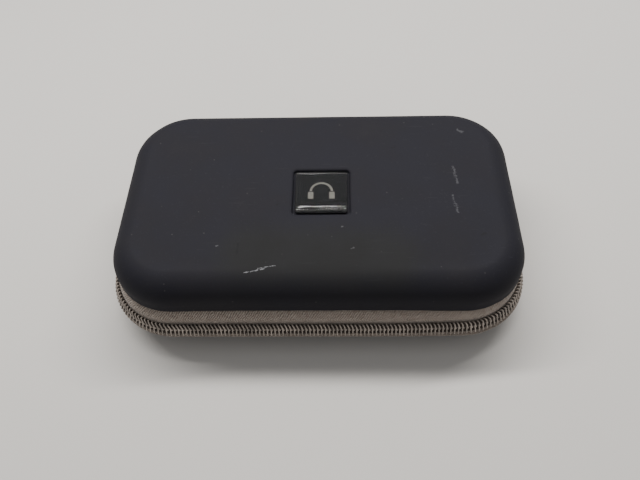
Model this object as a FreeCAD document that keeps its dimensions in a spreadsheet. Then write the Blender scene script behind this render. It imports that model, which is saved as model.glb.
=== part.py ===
import FreeCAD, Part
import math
import os
import sys
import Sketcher
from FreeCAD import Placement, Rotation, Vector

"""A zipped hard case for headphones.

Two moulded shells stand rim to rim, the base a little smaller than the lid. A coil zip closes the band between the rims along
the front and the two ends, turns both rear corners, and stops at a fabric spine in the middle of the back.
The lid turns back about an axis just behind the spine. Millimetres, +Z up, +X along the case, +Y towards
the spine. The origin is on the table, under the middle of the case.

In the band, a place is given by u and v: u is how far it lies outside the lid's outline, and v how far it
lies above the zip's centre line, halfway between the rims. s and n are the same two directions turned by
the zip's lean: s runs across the chain towards the lid, and n stands out from the tape.
"""

SIZES = {
    # The case
    "case_length": (158, "outside of the rims, along X"),
    "case_width": (94, "outside of the rims, along Y"),
    "corner_radius": (24, "of the outline's corners"),
    "lid_depth": (15.5, "from the lid's rim to its top"),
    "base_depth": (10, "from the base's rim to the table"),
    "band_height": (14, "from rim to rim"),
    "base_inset": (2, "by which the base's outline lies inside the lid's"),
    "lid_round": (10.5, "of the edge between the lid's wall and its top"),
    "base_round": (7, "of the edge between the base's wall and its bottom"),
    "shell_wall": (3.0, "moulded foam with its bonded outer skin"),
    "lining_wall": (0.6, "knitted lining"),
    # The zip
    "tape_thick": (0.6, "woven tape, spine and binding"),
    "tape_margin": (3.2, "of tape sewn inside a rim"),
    "tape_gap": (0.8, "from the zip's centre line to each tape's edge"),
    "tape_flat": (5.0, "from the centre line to a tape's first bend"),
    "coil_half": (3.0, "width of one coil"),
    "coil_thick": (1.9, "of a coil, over the tape"),
    "coil_gap": (0.05, "from the centre line to each coil"),
    "coil_proud": (2.7, "how far the chain's centre stands outside the lid's rim"),
    "zip_lean": (20, "degrees by which the chain faces up"),
    "rim_clear": (0.4, "between a rim and the tape that passes it"),
    "fit_gap": (0.05, "between pieces that lie on each other"),
    # The spine
    "spine_width": (56, "along X"),
    "spine_bulge": (1.3, "how far the spine stands outside the lid's rim"),
    "spine_lining_width": (52, "along X"),
    "spine_lining_reach": (4.0, "past each rim"),
    "hinge_out": (4.2, "from the lid's outline out to its axis"),
    "bartack_wide": (1.4, "along X"),
    "bartack_high": (7.0, "up and down the spine"),
    "bartack_thick": (0.5, "over the spine"),
    # The bindings and their seams
    "binding_thick": (0.65, "over the tape's margin"),
    "thread_thick": (0.5, "of the sewing thread"),
    "thread_height": (2.2, "from a rim to its seam"),
    # The pocket in the lid
    "pocket_height": (1.0, "from the lid's rim to the net"),
    "net_thick": (0.6, "of the net"),
    "pocket_setback": (4.0, "from where the rear corners start to the pocket's open edge"),
    "elastic_width": (6.0, "along Y"),
    "elastic_thick": (1.4, "folded over the net's edge"),
    # The badge
    "badge_right": (1.6, "from the lid's middle to the badge's, along X"),
    "badge_front": (1.8, "from the lid's middle to the badge's, towards the front"),
    "recess_side": (22.4, "of the square recess"),
    "recess_depth": (1.4, "under the lid's top"),
    "recess_corner": (1.6, "of the recess in plan"),
    "recess_round": (0.5, "of the recess's upper edge"),
    "badge_side": (20.4, "of the badge"),
    "badge_corner": (1.2, "of the badge in plan"),
    "plate_thick": (0.6, "of the badge's plate"),
    "inlay_deep": (0.2, "of the mark let into the plate"),
    "dome_thick": (1.6, "of the clear dome"),
    "dome_round": (1.1, "of the dome's upper edge"),
    "mark_radius": (4.6, "outside of the mark's band"),
    "mark_band": (0.9, "width of the band"),
    "mark_up": (0.2, "from the badge's middle to the band's centre"),
    "cup_wide": (2.1, "of each cup of the mark"),
    "cup_high": (3.4, "of each cup of the mark"),
    "cup_space": (0.35, "between the band and a cup"),
    # The slider and its pull
    "slider_long": (13.5, "along the zip"),
    "slider_wide": (9.2, "across the zip"),
    "slider_nose": (3.0, "by which the nose narrows at each corner"),
    "plate_wall": (1.15, "of the slider's upper and lower plates"),
    "channel_half": (3.25, "from the slider's middle to a flange"),
    "channel_clear": (0.15, "over the coil and under the tape"),
    "slot_clear": (0.25, "between a flange and the tape"),
    "wedge_half": (0.7, "of the wedge that parts the coils"),
    "wedge_long": (3.0, "along the zip"),
    "wedge_back": (0.5, "from the slider's nose to the wedge"),
    "bridge_long": (9.0, "of the arch that holds the pull"),
    "bridge_rise": (2.7, "of the arch over the plate"),
    "bridge_wide": (1.8, "across the zip"),
    "bridge_bar": (1.0, "of the arch's own metal"),
    "slider_park": (0.5, "from the spine to the parked slider"),
    "corner_spare": (0.9, "from the moved slider to the rear corner"),
    "pull_long": (21.0, "from the pull's axis to its tip"),
    "pull_wide": (6.0, "of the pull"),
    "pull_thick": (1.0, "of the pull"),
    "pull_bar": (1.0, "of the bar under the arch"),
    "pull_eye_long": (5.0, "of the eye that the arch passes through"),
    "pull_eye_wide": (2.7, "of the eye"),
    "pull_lift": (0.3, "between the pull and the slider's plate"),
}

TOP, BOTTOM = 1, -1  # which way a shell opens from its rim: the lid upwards, the base downwards
LEFT, RIGHT = -1, 1
START, END = 1, 2  # Sketcher's numbers for a line's two ends
CENTRE = 3

doc = FreeCAD.newDocument("headphone_case")


class Size:
    """A length now, with the expression that keeps it bound to the sheet."""

    def __init__(self, value, text):
        self.value = value
        self.text = text

    def _with(self, other, sign, value):
        return Size(value, f"({self.text} {sign} {as_size(other).text})")

    def __add__(self, other):
        return self._with(other, "+", self.value + as_size(other).value)

    def __sub__(self, other):
        return self._with(other, "-", self.value - as_size(other).value)

    def __mul__(self, other):
        return self._with(other, "*", self.value * as_size(other).value)

    def __truediv__(self, other):
        return self._with(other, "/", self.value / as_size(other).value)

    def __neg__(self):
        return Size(-self.value, f"(-1 * {self.text})")


def as_size(number):
    return number if isinstance(number, Size) else Size(float(number), repr(float(number)))


def write_sheet():
    """The driving sizes, one to a row: name, value, meaning."""
    sheet = doc.addObject("Spreadsheet::Sheet", "Sizes")
    for row, (name, (value, meaning)) in enumerate(SIZES.items(), start=1):
        sheet.set(f"A{row}", name)
        sheet.set(f"B{row}", str(value))
        sheet.set(f"C{row}", meaning)
        sheet.setAlias(f"B{row}", name)
    doc.recompute()
    return sheet


sizes = write_sheet()


def of(name):
    """The size of that name in the sheet."""
    return Size(float(sizes.get(name)), f"Sizes.{name}")


# Sizes that more than one piece uses.
half_band = of("band_height") / 2
half_length = of("case_length") / 2
half_width = of("case_width") / 2
base_rim = of("base_depth")
zip_height = of("base_depth") + half_band
lid_rim = of("base_depth") + of("band_height")
case_height = lid_rim + of("lid_depth")
inner_wall = of("shell_wall") + of("lining_wall")
straight_half = half_length - of("corner_radius")
spine_half = of("spine_width") / 2
margin_out = inner_wall + of("fit_gap")  # the tape's margin, measured inwards from a shell's outline
binding_out = margin_out + of("tape_thick") + of("fit_gap")
binding_in = binding_out + of("binding_thick")
slider_centre = spine_half + of("slider_park") + of("slider_long") / 2


# ---- Helpers for bodies and sketches


def bind(thing, prop, value):
    thing.setExpression(prop, as_size(value).text)


def new_body(label):
    body = doc.addObject("PartDesign::Body", label)
    body.Label = label
    return body


def sketch_on(body, role, name, height=0.0):
    """A sketch on one of the body's own planes, moved along that plane's normal."""
    plane = [f for f in body.Origin.OriginFeatures if f.Role == role][0]
    sketch = body.newObject("Sketcher::SketchObject", name)
    sketch.AttachmentSupport = [(plane, "")]
    sketch.MapMode = "FlatFace"
    bind(sketch, "AttachmentOffset.Base.z", height)
    return sketch


def fix_point(sketch, geometry, point, x, y):
    """Holds a point at (x, y), with both numbers bound to the sheet."""
    for kind, value in (("DistanceX", x), ("DistanceY", y)):
        value = as_size(value)
        if abs(value.value) < 1e-9:
            axis = -2 if kind == "DistanceX" else -1
            sketch.addConstraint(Sketcher.Constraint("PointOnObject", geometry, point, axis))
            continue
        number = sketch.addConstraint(Sketcher.Constraint(kind, geometry, point, value.value))
        bind(sketch, f"Constraints[{number}]", value)


def fix_radius(sketch, geometry, radius):
    radius = as_size(radius)
    number = sketch.addConstraint(Sketcher.Constraint("Radius", geometry, radius.value))
    bind(sketch, f"Constraints[{number}]", radius)


def polygon(sketch, corners):
    """A closed outline of straight lines through corners, each corner bound to the sheet."""
    places = [Vector(as_size(x).value, as_size(y).value, 0) for x, y in corners]
    first = len(sketch.Geometry)
    count = len(places)
    for k in range(count):
        sketch.addGeometry(Part.LineSegment(places[k], places[(k + 1) % count]), False)
    for k in range(count):
        following = first + (k + 1) % count
        sketch.addConstraint(Sketcher.Constraint("Coincident", first + k, END, following, START))
    for k, (x, y) in enumerate(corners):
        fix_point(sketch, first + k, START, x, y)


def rectangle(sketch, low_x, high_x, low_y, high_y):
    polygon(sketch, [(low_x, low_y), (high_x, low_y), (high_x, high_y), (low_x, high_y)])


def rounded_rectangle(sketch, length, width, radius):
    """A rectangle with round corners about the sketch's origin: four lines and four tangent arcs."""
    length, width, radius = as_size(length), as_size(width), as_size(radius)
    across, up, r = length.value / 2, width.value / 2, radius.value
    signs = [(1, 1), (-1, 1), (-1, -1), (1, -1)]
    first = len(sketch.Geometry)
    for k, (sx, sy) in enumerate(signs):
        centre = Vector(sx * (across - r), sy * (up - r), 0)
        circle = Part.Circle(centre, Vector(0, 0, 1), r)
        start = k * math.pi / 2
        sketch.addGeometry(Part.ArcOfCircle(circle, start, start + math.pi / 2), False)
    sides = [
        (Vector(across - r, up, 0), Vector(r - across, up, 0)),
        (Vector(-across, up - r, 0), Vector(-across, r - up, 0)),
        (Vector(r - across, -up, 0), Vector(across - r, -up, 0)),
        (Vector(across, r - up, 0), Vector(across, up - r, 0)),
    ]
    for a, b in sides:
        sketch.addGeometry(Part.LineSegment(a, b), False)
    for k in range(4):
        arc, line, following = first + k, first + 4 + k, first + (k + 1) % 4
        sketch.addConstraint(Sketcher.Constraint("Tangent", arc, END, line, START))
        sketch.addConstraint(Sketcher.Constraint("Tangent", line, END, following, START))
    for k, (sx, sy) in enumerate(signs):
        fix_point(sketch, first + k, CENTRE, (length / 2 - radius) * sx, (width / 2 - radius) * sy)
        fix_radius(sketch, first + k, radius)


def case_outline(sketch, inwards):
    """The lid's own outline, or one that lies inwards of it all round."""
    length = of("case_length") - as_size(inwards) * 2
    width = of("case_width") - as_size(inwards) * 2
    rounded_rectangle(sketch, length, width, of("corner_radius") - inwards)


def pad(body, sketch, name, length, down=False):
    feature = body.newObject("PartDesign::Pad", name)
    feature.Profile = sketch
    bind(feature, "Length", length)
    feature.Reversed = down
    doc.recompute()
    return feature


def pocket(body, sketch, name, length, up=False):
    """Cuts a pocket, and stops if it took nothing away."""
    before = body.Shape.Volume
    feature = body.newObject("PartDesign::Pocket", name)
    feature.Profile = sketch
    bind(feature, "Length", length)
    feature.Reversed = up
    doc.recompute()
    if not body.Shape.Volume < before:
        raise RuntimeError(f"{name} cuts nothing")
    return feature


def fillet(body, name, radius, wanted):
    """Rounds the edges of the body's tip that wanted(edge) picks."""
    tip = body.Tip
    names = [f"Edge{k + 1}" for k, edge in enumerate(tip.Shape.Edges) if wanted(edge)]
    if not names:
        raise RuntimeError(f"{name} finds no edge")
    feature = body.newObject("PartDesign::Fillet", name)
    feature.Base = (tip, names)
    bind(feature, "Radius", radius)
    doc.recompute()
    return feature


def hollow_out(body, name, wall, open_at):
    """Leaves a wall of even thickness inside the body's faces, open at the flat face at that height."""
    tip = body.Tip
    faces = [f"Face{k + 1}" for k, face in enumerate(tip.Shape.Faces) if lies_at(face, open_at)]
    feature = body.newObject("PartDesign::Thickness", name)
    feature.Base = (tip, faces)
    bind(feature, "Value", wall)
    feature.Join = "Arc"
    feature.Reversed = True
    doc.recompute()
    return feature


def tight_box(shape):
    return shape.optimalBoundingBox(False, False)


def lies_at(part_of_shape, height):
    """Whether the whole edge or face lies at that height."""
    box = part_of_shape.BoundBox
    return abs(box.ZMin - height) < 1e-4 and abs(box.ZMax - height) < 1e-4


def piece(label, shape):
    """A part of the document whose shape is made with Part's own functions."""
    thing = doc.addObject("Part::Feature", label)
    thing.Label = label
    thing.Shape = shape
    thing.Placement = Placement()
    return thing


# ---- Shells and linings


def tray(label, way, inset, wall):
    """One moulded layer: its outside lies inset inside the shell's, and its wall is wall thick."""
    body = new_body(label)
    inset = as_size(inset)
    if way == TOP:
        rim, depth, edge, inwards = lid_rim, of("lid_depth"), of("lid_round"), inset
    else:
        rim, depth, edge = base_rim, of("base_depth"), of("base_round")
        inwards = of("base_inset") + inset
    outline = sketch_on(body, "XY_Plane", f"{label}_outline", rim)
    case_outline(outline, inwards)
    block = pad(body, outline, f"{label}_form", depth - inset, down=way == BOTTOM)
    face = rim.value + way * (depth - inset).value
    fillet(body, f"{label}_round", edge - inset, lambda edge: lies_at(edge, face))
    hollow_out(body, f"{label}_hollow", wall, rim.value)
    if tight_box(body.Shape).DiagonalLength > tight_box(block.Shape).DiagonalLength + 1e-3:
        raise RuntimeError(f"{label} grew outwards")
    return body


def badge_sketch(body, name, height):
    """A level sketch about the badge's middle."""
    sketch = sketch_on(body, "XY_Plane", name, height)
    bind(sketch, "AttachmentOffset.Base.x", of("badge_right"))
    bind(sketch, "AttachmentOffset.Base.y", of("badge_front") * -1)
    return sketch


def badge_recess(lid):
    """The square recess in the lid's top that the badge is stuck into."""
    outline = badge_sketch(lid, "recess_outline", case_height)
    rounded_rectangle(outline, of("recess_side"), of("recess_side"), of("recess_corner"))
    pocket(lid, outline, "recess", of("recess_depth"))
    reach = of("recess_side").value / 2 + 0.1

    def is_recess_edge(edge):
        box = edge.BoundBox
        across = abs(box.XMax - of("badge_right").value)
        along = abs(box.YMax + of("badge_front").value)
        return lies_at(edge, case_height.value) and max(across, along) < reach

    fillet(lid, "recess_round", of("recess_round"), is_recess_edge)


def rim_ring(label, way, out, thick, bottom, height):
    """A flat ring inside a rim: its face is out inside the shell's outline, and it starts bottom from the rim."""
    body = new_body(label)
    rim, inset = (lid_rim, 0) if way == TOP else (base_rim, of("base_inset"))
    outline = sketch_on(body, "XY_Plane", f"{label}_outline", rim + as_size(bottom) * way)
    case_outline(outline, as_size(out) + inset)
    case_outline(outline, as_size(out) + inset + thick)
    pad(body, outline, f"{label}_pad", height, down=way == BOTTOM)
    return body


def shells():
    lid = tray("lid_shell", TOP, 0, of("shell_wall"))
    badge_recess(lid)
    tray("lid_lining", TOP, of("shell_wall"), of("lining_wall"))
    tray("base_shell", BOTTOM, 0, of("shell_wall"))
    tray("base_lining", BOTTOM, of("shell_wall"), of("lining_wall"))
    for name, way in (("lid", TOP), ("base", BOTTOM)):
        rim_ring(f"{name}_rim_binding", way, binding_out, of("binding_thick"), 0, of("tape_margin"))
        thread = of("thread_thick")
        rim_ring(f"{name}_seam_thread", way, binding_in, thread, of("thread_height"), thread)


# ---- The pocket in the lid


def mesh_pocket():
    """A net sewn inside the lid's rim along the front and the ends, with elastic along its open edge."""
    reach = binding_in
    level = lid_rim + of("pocket_height")
    net = new_body("pocket_net")
    outline = sketch_on(net, "XY_Plane", "net_outline", level)
    case_outline(outline, reach)
    pad(net, outline, "net_pad", of("net_thick"))
    mouth = sketch_on(net, "XY_Plane", "net_mouth", level)
    open_to = half_width - of("corner_radius") - of("pocket_setback")
    open_from = open_to - of("elastic_width")
    rectangle(mouth, -half_length, half_length, open_from, half_width)
    pocket(net, mouth, "net_mouth_cut", of("net_thick"), up=True)

    elastic = new_body("pocket_elastic")
    lower = level + of("net_thick") / 2 - of("elastic_thick") / 2
    band = sketch_on(elastic, "XY_Plane", "elastic_outline", lower)
    side = half_length - reach
    rectangle(band, -side, side, open_from, open_to)
    pad(elastic, band, "elastic_pad", of("elastic_thick"))


# ---- The badge


def mark_outline(sketch):
    """A plain headphone mark: half a ring for the band and a block for each cup."""
    outer, band, up = of("mark_radius"), of("mark_band"), of("mark_up")
    inner = outer - band
    centre = Vector(0, up.value, 0)
    first = len(sketch.Geometry)
    for radius in (outer, inner):
        circle = Part.Circle(centre, Vector(0, 0, 1), radius.value)
        sketch.addGeometry(Part.ArcOfCircle(circle, 0, math.pi), False)
    ends = [(RIGHT, START), (LEFT, END)]
    for side, end in ends:
        a = Vector(side * outer.value, up.value, 0)
        b = Vector(side * inner.value, up.value, 0)
        line = sketch.addGeometry(Part.LineSegment(a, b), False)
        sketch.addConstraint(Sketcher.Constraint("Coincident", first, end, line, START))
        sketch.addConstraint(Sketcher.Constraint("Coincident", first + 1, end, line, END))
        sketch.addConstraint(Sketcher.Constraint("Horizontal", line))
    for k, radius in enumerate((outer, inner)):
        fix_point(sketch, first + k, CENTRE, 0, up)
        fix_radius(sketch, first + k, radius)
    top = up - of("cup_space")
    middle = outer - band / 2
    for side in (LEFT, RIGHT):
        low = middle * side - of("cup_wide") / 2
        rectangle(sketch, low, low + of("cup_wide"), top - of("cup_high"), top)


def badge():
    """A plate with the mark let into it, under a clear dome, in the lid's recess."""
    floor = case_height - of("recess_depth")
    plate_top = floor + of("plate_thick")
    side, corner = of("badge_side"), of("badge_corner")

    plate = new_body("badge_plate")
    outline = badge_sketch(plate, "plate_outline", floor)
    rounded_rectangle(outline, side, side, corner)
    pad(plate, outline, "plate_pad", of("plate_thick"))
    inlay = badge_sketch(plate, "plate_mark", plate_top)
    mark_outline(inlay)
    pocket(plate, inlay, "plate_inlay", of("inlay_deep"))

    mark = new_body("badge_mark")
    shape = badge_sketch(mark, "mark_outline", plate_top - of("inlay_deep"))
    mark_outline(shape)
    mark_pad = mark.newObject("PartDesign::Pad", "mark_pad")
    mark.AllowCompound = True
    mark_pad.Profile = shape
    bind(mark_pad, "Length", of("inlay_deep"))
    doc.recompute()

    dome = new_body("badge_dome")
    foot = badge_sketch(dome, "dome_outline", plate_top)
    rounded_rectangle(foot, side, side, corner)
    pad(dome, foot, "dome_pad", of("dome_thick"))
    top = (plate_top + of("dome_thick")).value
    fillet(dome, "dome_round", of("dome_round"), lambda edge: lies_at(edge, top))


# ---- The zip and the spine: strips of one section that follow the rims.
# A strip's section has bends, a lean and a start anywhere round the case, so these pieces are made with
# Part's functions from the sheet's values.

lean = math.radians(of("zip_lean").value)
ACROSS = (-math.sin(lean), math.cos(lean))  # s, as (u, v)
OUT = (math.cos(lean), math.sin(lean))  # n, as (u, v)


def chain_place(s, n):
    """(u, v) of a point s across the chain from its centre line and n out of the tape's outer face."""
    base_u = of("coil_proud").value - of("coil_thick").value * OUT[0]
    base_v = -of("coil_thick").value * OUT[1]
    return (base_u + s * ACROSS[0] + n * OUT[0], base_v + s * ACROSS[1] + n * OUT[1])


def strip_section(middle_line, thick):
    """The closed outline of a strip of that thickness whose middle follows middle_line, bends mitred."""
    sides = ([], [])
    last = len(middle_line) - 1
    for k, (u, v) in enumerate(middle_line):
        before = middle_line[max(k - 1, 0)]
        after = middle_line[min(k + 1, last)]
        normals = []
        for a, b in ((before, (u, v)), ((u, v), after)):
            run = math.hypot(b[0] - a[0], b[1] - a[1])
            if run > 0:
                normals.append(((a[1] - b[1]) / run, (b[0] - a[0]) / run))
        nu = sum(normal[0] for normal in normals)
        nv = sum(normal[1] for normal in normals)
        # The sum of two unit normals is 2 cos(half the turn) long, and a mitre is 1 / cos(half the turn).
        stretch = len(normals) / (nu * nu + nv * nv)
        for points, way in zip(sides, (1, -1)):
            reach = way * stretch * thick / 2
            points.append((u + nu * reach, v + nv * reach))
    return sides[0] + sides[1][::-1]


def outline_corners():
    """Centres of the outline's corner arcs, anticlockwise from the rear right."""
    x = half_length.value - of("corner_radius").value
    y = half_width.value - of("corner_radius").value
    return [Vector(x, y, 0), Vector(-x, y, 0), Vector(-x, -y, 0), Vector(x, -y, 0)]


def corner_arc(centre, start):
    """A quarter of the outline, anticlockwise about a corner's centre from the angle start, in degrees."""
    places = []
    for turn in (0, 45, 90):
        angle = math.radians(start + turn)
        out = Vector(math.cos(angle), math.sin(angle), 0)
        places.append(centre + out * of("corner_radius").value)
    return Part.Arc(*places)


def route(side_from, side_to):
    """The outline at the zip's height, anticlockwise between two stations, as one wire.

    The stations are, in order: 0 the spine's left edge, 1 the start of the left end, 2 the end of the right
    end, and 3 the spine's right edge. Between 1 and 2 lie the left end, the front and the right end.
    """
    rear_right, rear_left, front_left, front_right = outline_corners()
    far = half_width.value
    edge = spine_half.value + of("fit_gap").value * 2
    left_back = Part.LineSegment(Vector(-edge, far, 0), rear_left + Vector(0, of("corner_radius").value, 0))
    arcs = [
        corner_arc(rear_left, 90),
        corner_arc(front_left, 180),
        corner_arc(front_right, 270),
        corner_arc(rear_right, 0),
    ]
    left = Part.LineSegment(arcs[0].EndPoint, arcs[1].StartPoint)
    front = Part.LineSegment(arcs[1].EndPoint, arcs[2].StartPoint)
    right = Part.LineSegment(arcs[2].EndPoint, arcs[3].StartPoint)
    right_back = Part.LineSegment(arcs[3].EndPoint, Vector(edge, far, 0))
    stretches = [[left_back, arcs[0]], [left, arcs[1], front, arcs[2], right], [arcs[3], right_back]]
    chosen = [curve for group in stretches[side_from:side_to] for curve in group]
    wire = Part.Wire([curve.toShape() for curve in chosen])
    wire.translate(Vector(0, 0, zip_height.value))
    return wire


def sweep(path, section):
    """A solid of that (u, v) section along a route, and a stop if its volume is wrong."""
    start = path.OrderedVertexes[0].Point
    first = path.OrderedEdges[0]
    along = first.tangentAt(first.FirstParameter)
    if (first.valueAt(first.FirstParameter) - start).Length > 1e-6:
        along = -first.tangentAt(first.LastParameter)
    outwards = along.cross(Vector(0, 0, 1))
    places = [start + outwards * u + Vector(0, 0, v) for u, v in section]
    profile = Part.makePolygon(places + [places[0]])
    solid = path.makePipeShell([profile], True, False)
    if not solid.isValid() or solid.Volume <= 0:
        raise RuntimeError("a strip came out broken")
    area = Part.Face(profile).Area
    rough = area * path.Length
    if abs(solid.Volume - rough) > 0.15 * rough:
        raise RuntimeError("a strip's volume is far from its section times its length")
    return solid


def passing_level():
    """How far from the zip's centre line, up or down, the middle of a tape passes a rim."""
    return half_band.value - of("rim_clear").value - of("tape_thick").value / 2


def sewn_margin(way):
    """The end of a tape's line: where it turns into a rim, and its margin along the lining."""
    thick = of("tape_thick").value
    inset = 0 if way == TOP else of("base_inset").value
    margin = -(margin_out.value + inset + thick / 2)
    end = half_band.value + of("tape_margin").value
    return [(margin, way * passing_level()), (margin, way * end)]


def tape_line(way):
    """The middle of a tape's section: from its edge beside the coils to the end of its margin in a rim."""
    thick = of("tape_thick").value
    inside = -thick / 2
    flat_end = chain_place(way * of("tape_flat").value, inside)
    start = [chain_place(way * of("tape_gap").value, inside), flat_end]
    turn = 2 * thick if way == TOP else thick
    before_turn = (flat_end[0] - turn / 2, way * (passing_level() - turn))
    after_turn = (flat_end[0] - 3 * turn / 2, way * passing_level())
    if way == TOP:
        start.append(before_turn)
    return start + [after_turn] + sewn_margin(way)


def coil_section(way):
    """A coil as a plain bar with its outer corner taken off, lying on its tape."""
    near, far = way * of("coil_gap").value, way * of("coil_half").value
    thick, lift = of("coil_thick").value, of("fit_gap").value
    bevel = thick / 3
    section = [
        chain_place(near, lift),
        chain_place(far, lift),
        chain_place(far, thick - bevel),
        chain_place(far - way * bevel, thick),
        chain_place(near, thick),
    ]
    return section


def wedge_start():
    """Where, along the zip's right back run, the slider's wedge begins: no coil passes it."""
    nose = slider_centre.value - of("slider_long").value / 2
    return nose + of("wedge_back").value + of("wedge_long").value + of("fit_gap").value * 2


def straight_back_run(from_x, to_x):
    """A straight piece of the outline at the back, from one X to another."""
    level, far = zip_height.value, half_width.value
    line = Part.LineSegment(Vector(from_x, far, level), Vector(to_x, far, level))
    return Part.Wire([line.toShape()])


def zip_strips():
    tape = of("tape_thick").value
    upper, lower = strip_section(tape_line(TOP), tape), strip_section(tape_line(BOTTOM), tape)
    piece("zip_tape_lower", sweep(route(0, 3), lower))
    piece("zip_tape_upper", sweep(route(1, 2), upper))
    piece("zip_tape_upper_end_left", sweep(route(0, 1), upper))
    piece("zip_tape_upper_end_right", sweep(route(2, 3), upper))
    piece("zip_coil_upper", sweep(route(1, 2), coil_section(TOP)))
    piece("zip_coil_upper_end_left", sweep(route(0, 1), coil_section(TOP)))
    corner = route(2, 3).OrderedEdges[0]
    corner_end = straight_half.value
    last_run = straight_back_run(corner_end, wedge_start())
    right_end = Part.Wire([corner] + last_run.Edges)
    piece("zip_coil_upper_end_right", sweep(right_end, coil_section(TOP)))
    up_to_corner = Part.Wire([edge for edge in route(0, 3).OrderedEdges[:-1]])
    piece("zip_coil_lower", sweep(up_to_corner, coil_section(BOTTOM)))
    piece("zip_coil_lower_end_right", sweep(last_run, coil_section(BOTTOM)))


def spine():
    """The fabric hinge: a strip outside that bulges like the zip, one inside over the bindings, and the
    bar of dense stitching at each end of the outer strip."""
    thick = of("tape_thick").value
    out = of("spine_bulge").value - thick / 2
    halves = []
    for way in (BOTTOM, TOP):
        bulge = [(out, way * 2.5 * thick), (out - thick, way * (passing_level() - 2 * thick))]
        turn = [(out - 3 * thick, way * passing_level())]
        halves.append(bulge + turn + sewn_margin(way))
    section = strip_section(halves[0][::-1] + halves[1], thick)
    half = spine_half.value
    piece("spine_outer", sweep(straight_back_run(half, -half), section))

    upper = -(binding_in.value + of("thread_thick").value + of("fit_gap").value + thick / 2)
    lower = upper - of("base_inset").value
    rim = half_band.value
    reach = rim + of("spine_lining_reach").value
    lining = strip_section([(lower, -reach), (lower, -rim), (upper, rim), (upper, reach)], thick)
    lining_half = of("spine_lining_width").value / 2
    piece("spine_lining", sweep(straight_back_run(lining_half, -lining_half), lining))

    for side, name in ((LEFT, "left"), (RIGHT, "right")):
        bar = doc.addObject("Part::Box", f"spine_bartack_{name}")
        bar.Label = f"spine_bartack_{name}"
        bind(bar, "Length", of("bartack_wide"))
        bind(bar, "Width", of("bartack_thick"))
        bind(bar, "Height", of("bartack_high"))
        outer_end = spine_half - of("tape_thick") * 2
        low = outer_end - of("bartack_wide") if side == RIGHT else -outer_end
        bind(bar, "Placement.Base.x", low)
        bind(bar, "Placement.Base.y", half_width + of("spine_bulge") + of("fit_gap"))
        bind(bar, "Placement.Base.z", zip_height - of("bartack_high") / 2)


# ---- The slider and its pull, built lying flat: +X towards the nose, Y across the zip, Z out of the tape


def on_zip():
    """From the slider's own axes, with Z zero on the tape's outer face, to its place on the back run."""
    u, v = chain_place(0, 0)
    place = Vector(slider_centre.value, half_width.value + u, zip_height.value + v)
    leaning = Rotation(Vector(1, 0, 0), of("zip_lean").value - 90)
    return Placement(place, leaning.multiply(Rotation(Vector(0, 0, 1), 180)))


def slider():
    """The cast slider: two plates with flanges, a wedge that joins them, and the arch for the pull."""
    body = new_body("slider_body")
    half_long, half_wide = of("slider_long") / 2, of("slider_wide") / 2
    floor = -(of("tape_thick") + of("channel_clear") + of("plate_wall"))
    ceiling = of("coil_thick") + of("channel_clear")
    upper_face = ceiling + of("plate_wall")
    channel_floor = -(of("tape_thick") + of("channel_clear"))

    plan = sketch_on(body, "XY_Plane", "slider_plan", floor)
    cut = of("slider_nose") / 2
    polygon(
        plan,
        [
            (-half_long, -half_wide + cut / 2),
            (-half_long + cut / 2, -half_wide),
            (half_long - cut, -half_wide),
            (half_long, -half_wide + cut),
            (half_long, half_wide - cut),
            (half_long - cut, half_wide),
            (-half_long + cut / 2, half_wide),
            (-half_long, half_wide - cut / 2),
        ],
    )
    pad(body, plan, "slider_block", upper_face - floor)

    channel = sketch_on(body, "YZ_Plane", "slider_channel", -half_long)
    flange = of("channel_half")
    rectangle(channel, -flange, flange, channel_floor, ceiling)
    pocket(body, channel, "slider_channel_cut", of("slider_long"), up=True)
    slots = sketch_on(body, "YZ_Plane", "slider_slots", -half_long)
    rectangle(slots, -half_wide, -flange, channel_floor, of("slot_clear"))
    rectangle(slots, flange, half_wide, channel_floor, of("slot_clear"))
    before = body.Shape.Volume
    cutter = body.newObject("PartDesign::Pocket", "slider_slots_cut")
    body.AllowCompound = True
    cutter.Profile = slots
    bind(cutter, "Length", of("slider_long"))
    cutter.Reversed = True
    doc.recompute()
    if not body.Shape.Volume < before:
        raise RuntimeError("the tape slots cut nothing")

    wedge = sketch_on(body, "XY_Plane", "slider_wedge", channel_floor)
    front = half_long - of("wedge_back")
    back = front - of("wedge_long")
    thin = of("wedge_half") / 3
    thick = of("wedge_half")
    polygon(wedge, [(back, -thin), (front, -thick), (front, thick), (back, thin)])
    pad(body, wedge, "slider_wedge_pad", ceiling - channel_floor)

    arch = sketch_on(body, "XZ_Plane", "slider_arch", -(of("bridge_wide") / 2))
    foot, rise, bar = of("bridge_long") / 2, upper_face + of("bridge_rise"), of("bridge_bar")
    slope = of("bridge_rise") - bar
    polygon(
        arch,
        [
            (-foot, upper_face),
            (-foot, rise - slope),
            (-foot + slope, rise),
            (foot - slope, rise),
            (foot, rise - slope),
            (foot, upper_face),
            (foot - bar, upper_face),
            (foot - bar, rise - slope - bar / 2),
            (foot - slope - bar / 2, rise - bar),
            (-foot + slope + bar / 2, rise - bar),
            (-foot + bar, rise - slope - bar / 2),
            (-foot + bar, upper_face),
        ],
    )
    pad(body, arch, "slider_arch_pad", of("bridge_wide"))
    body.Placement = on_zip()


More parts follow.
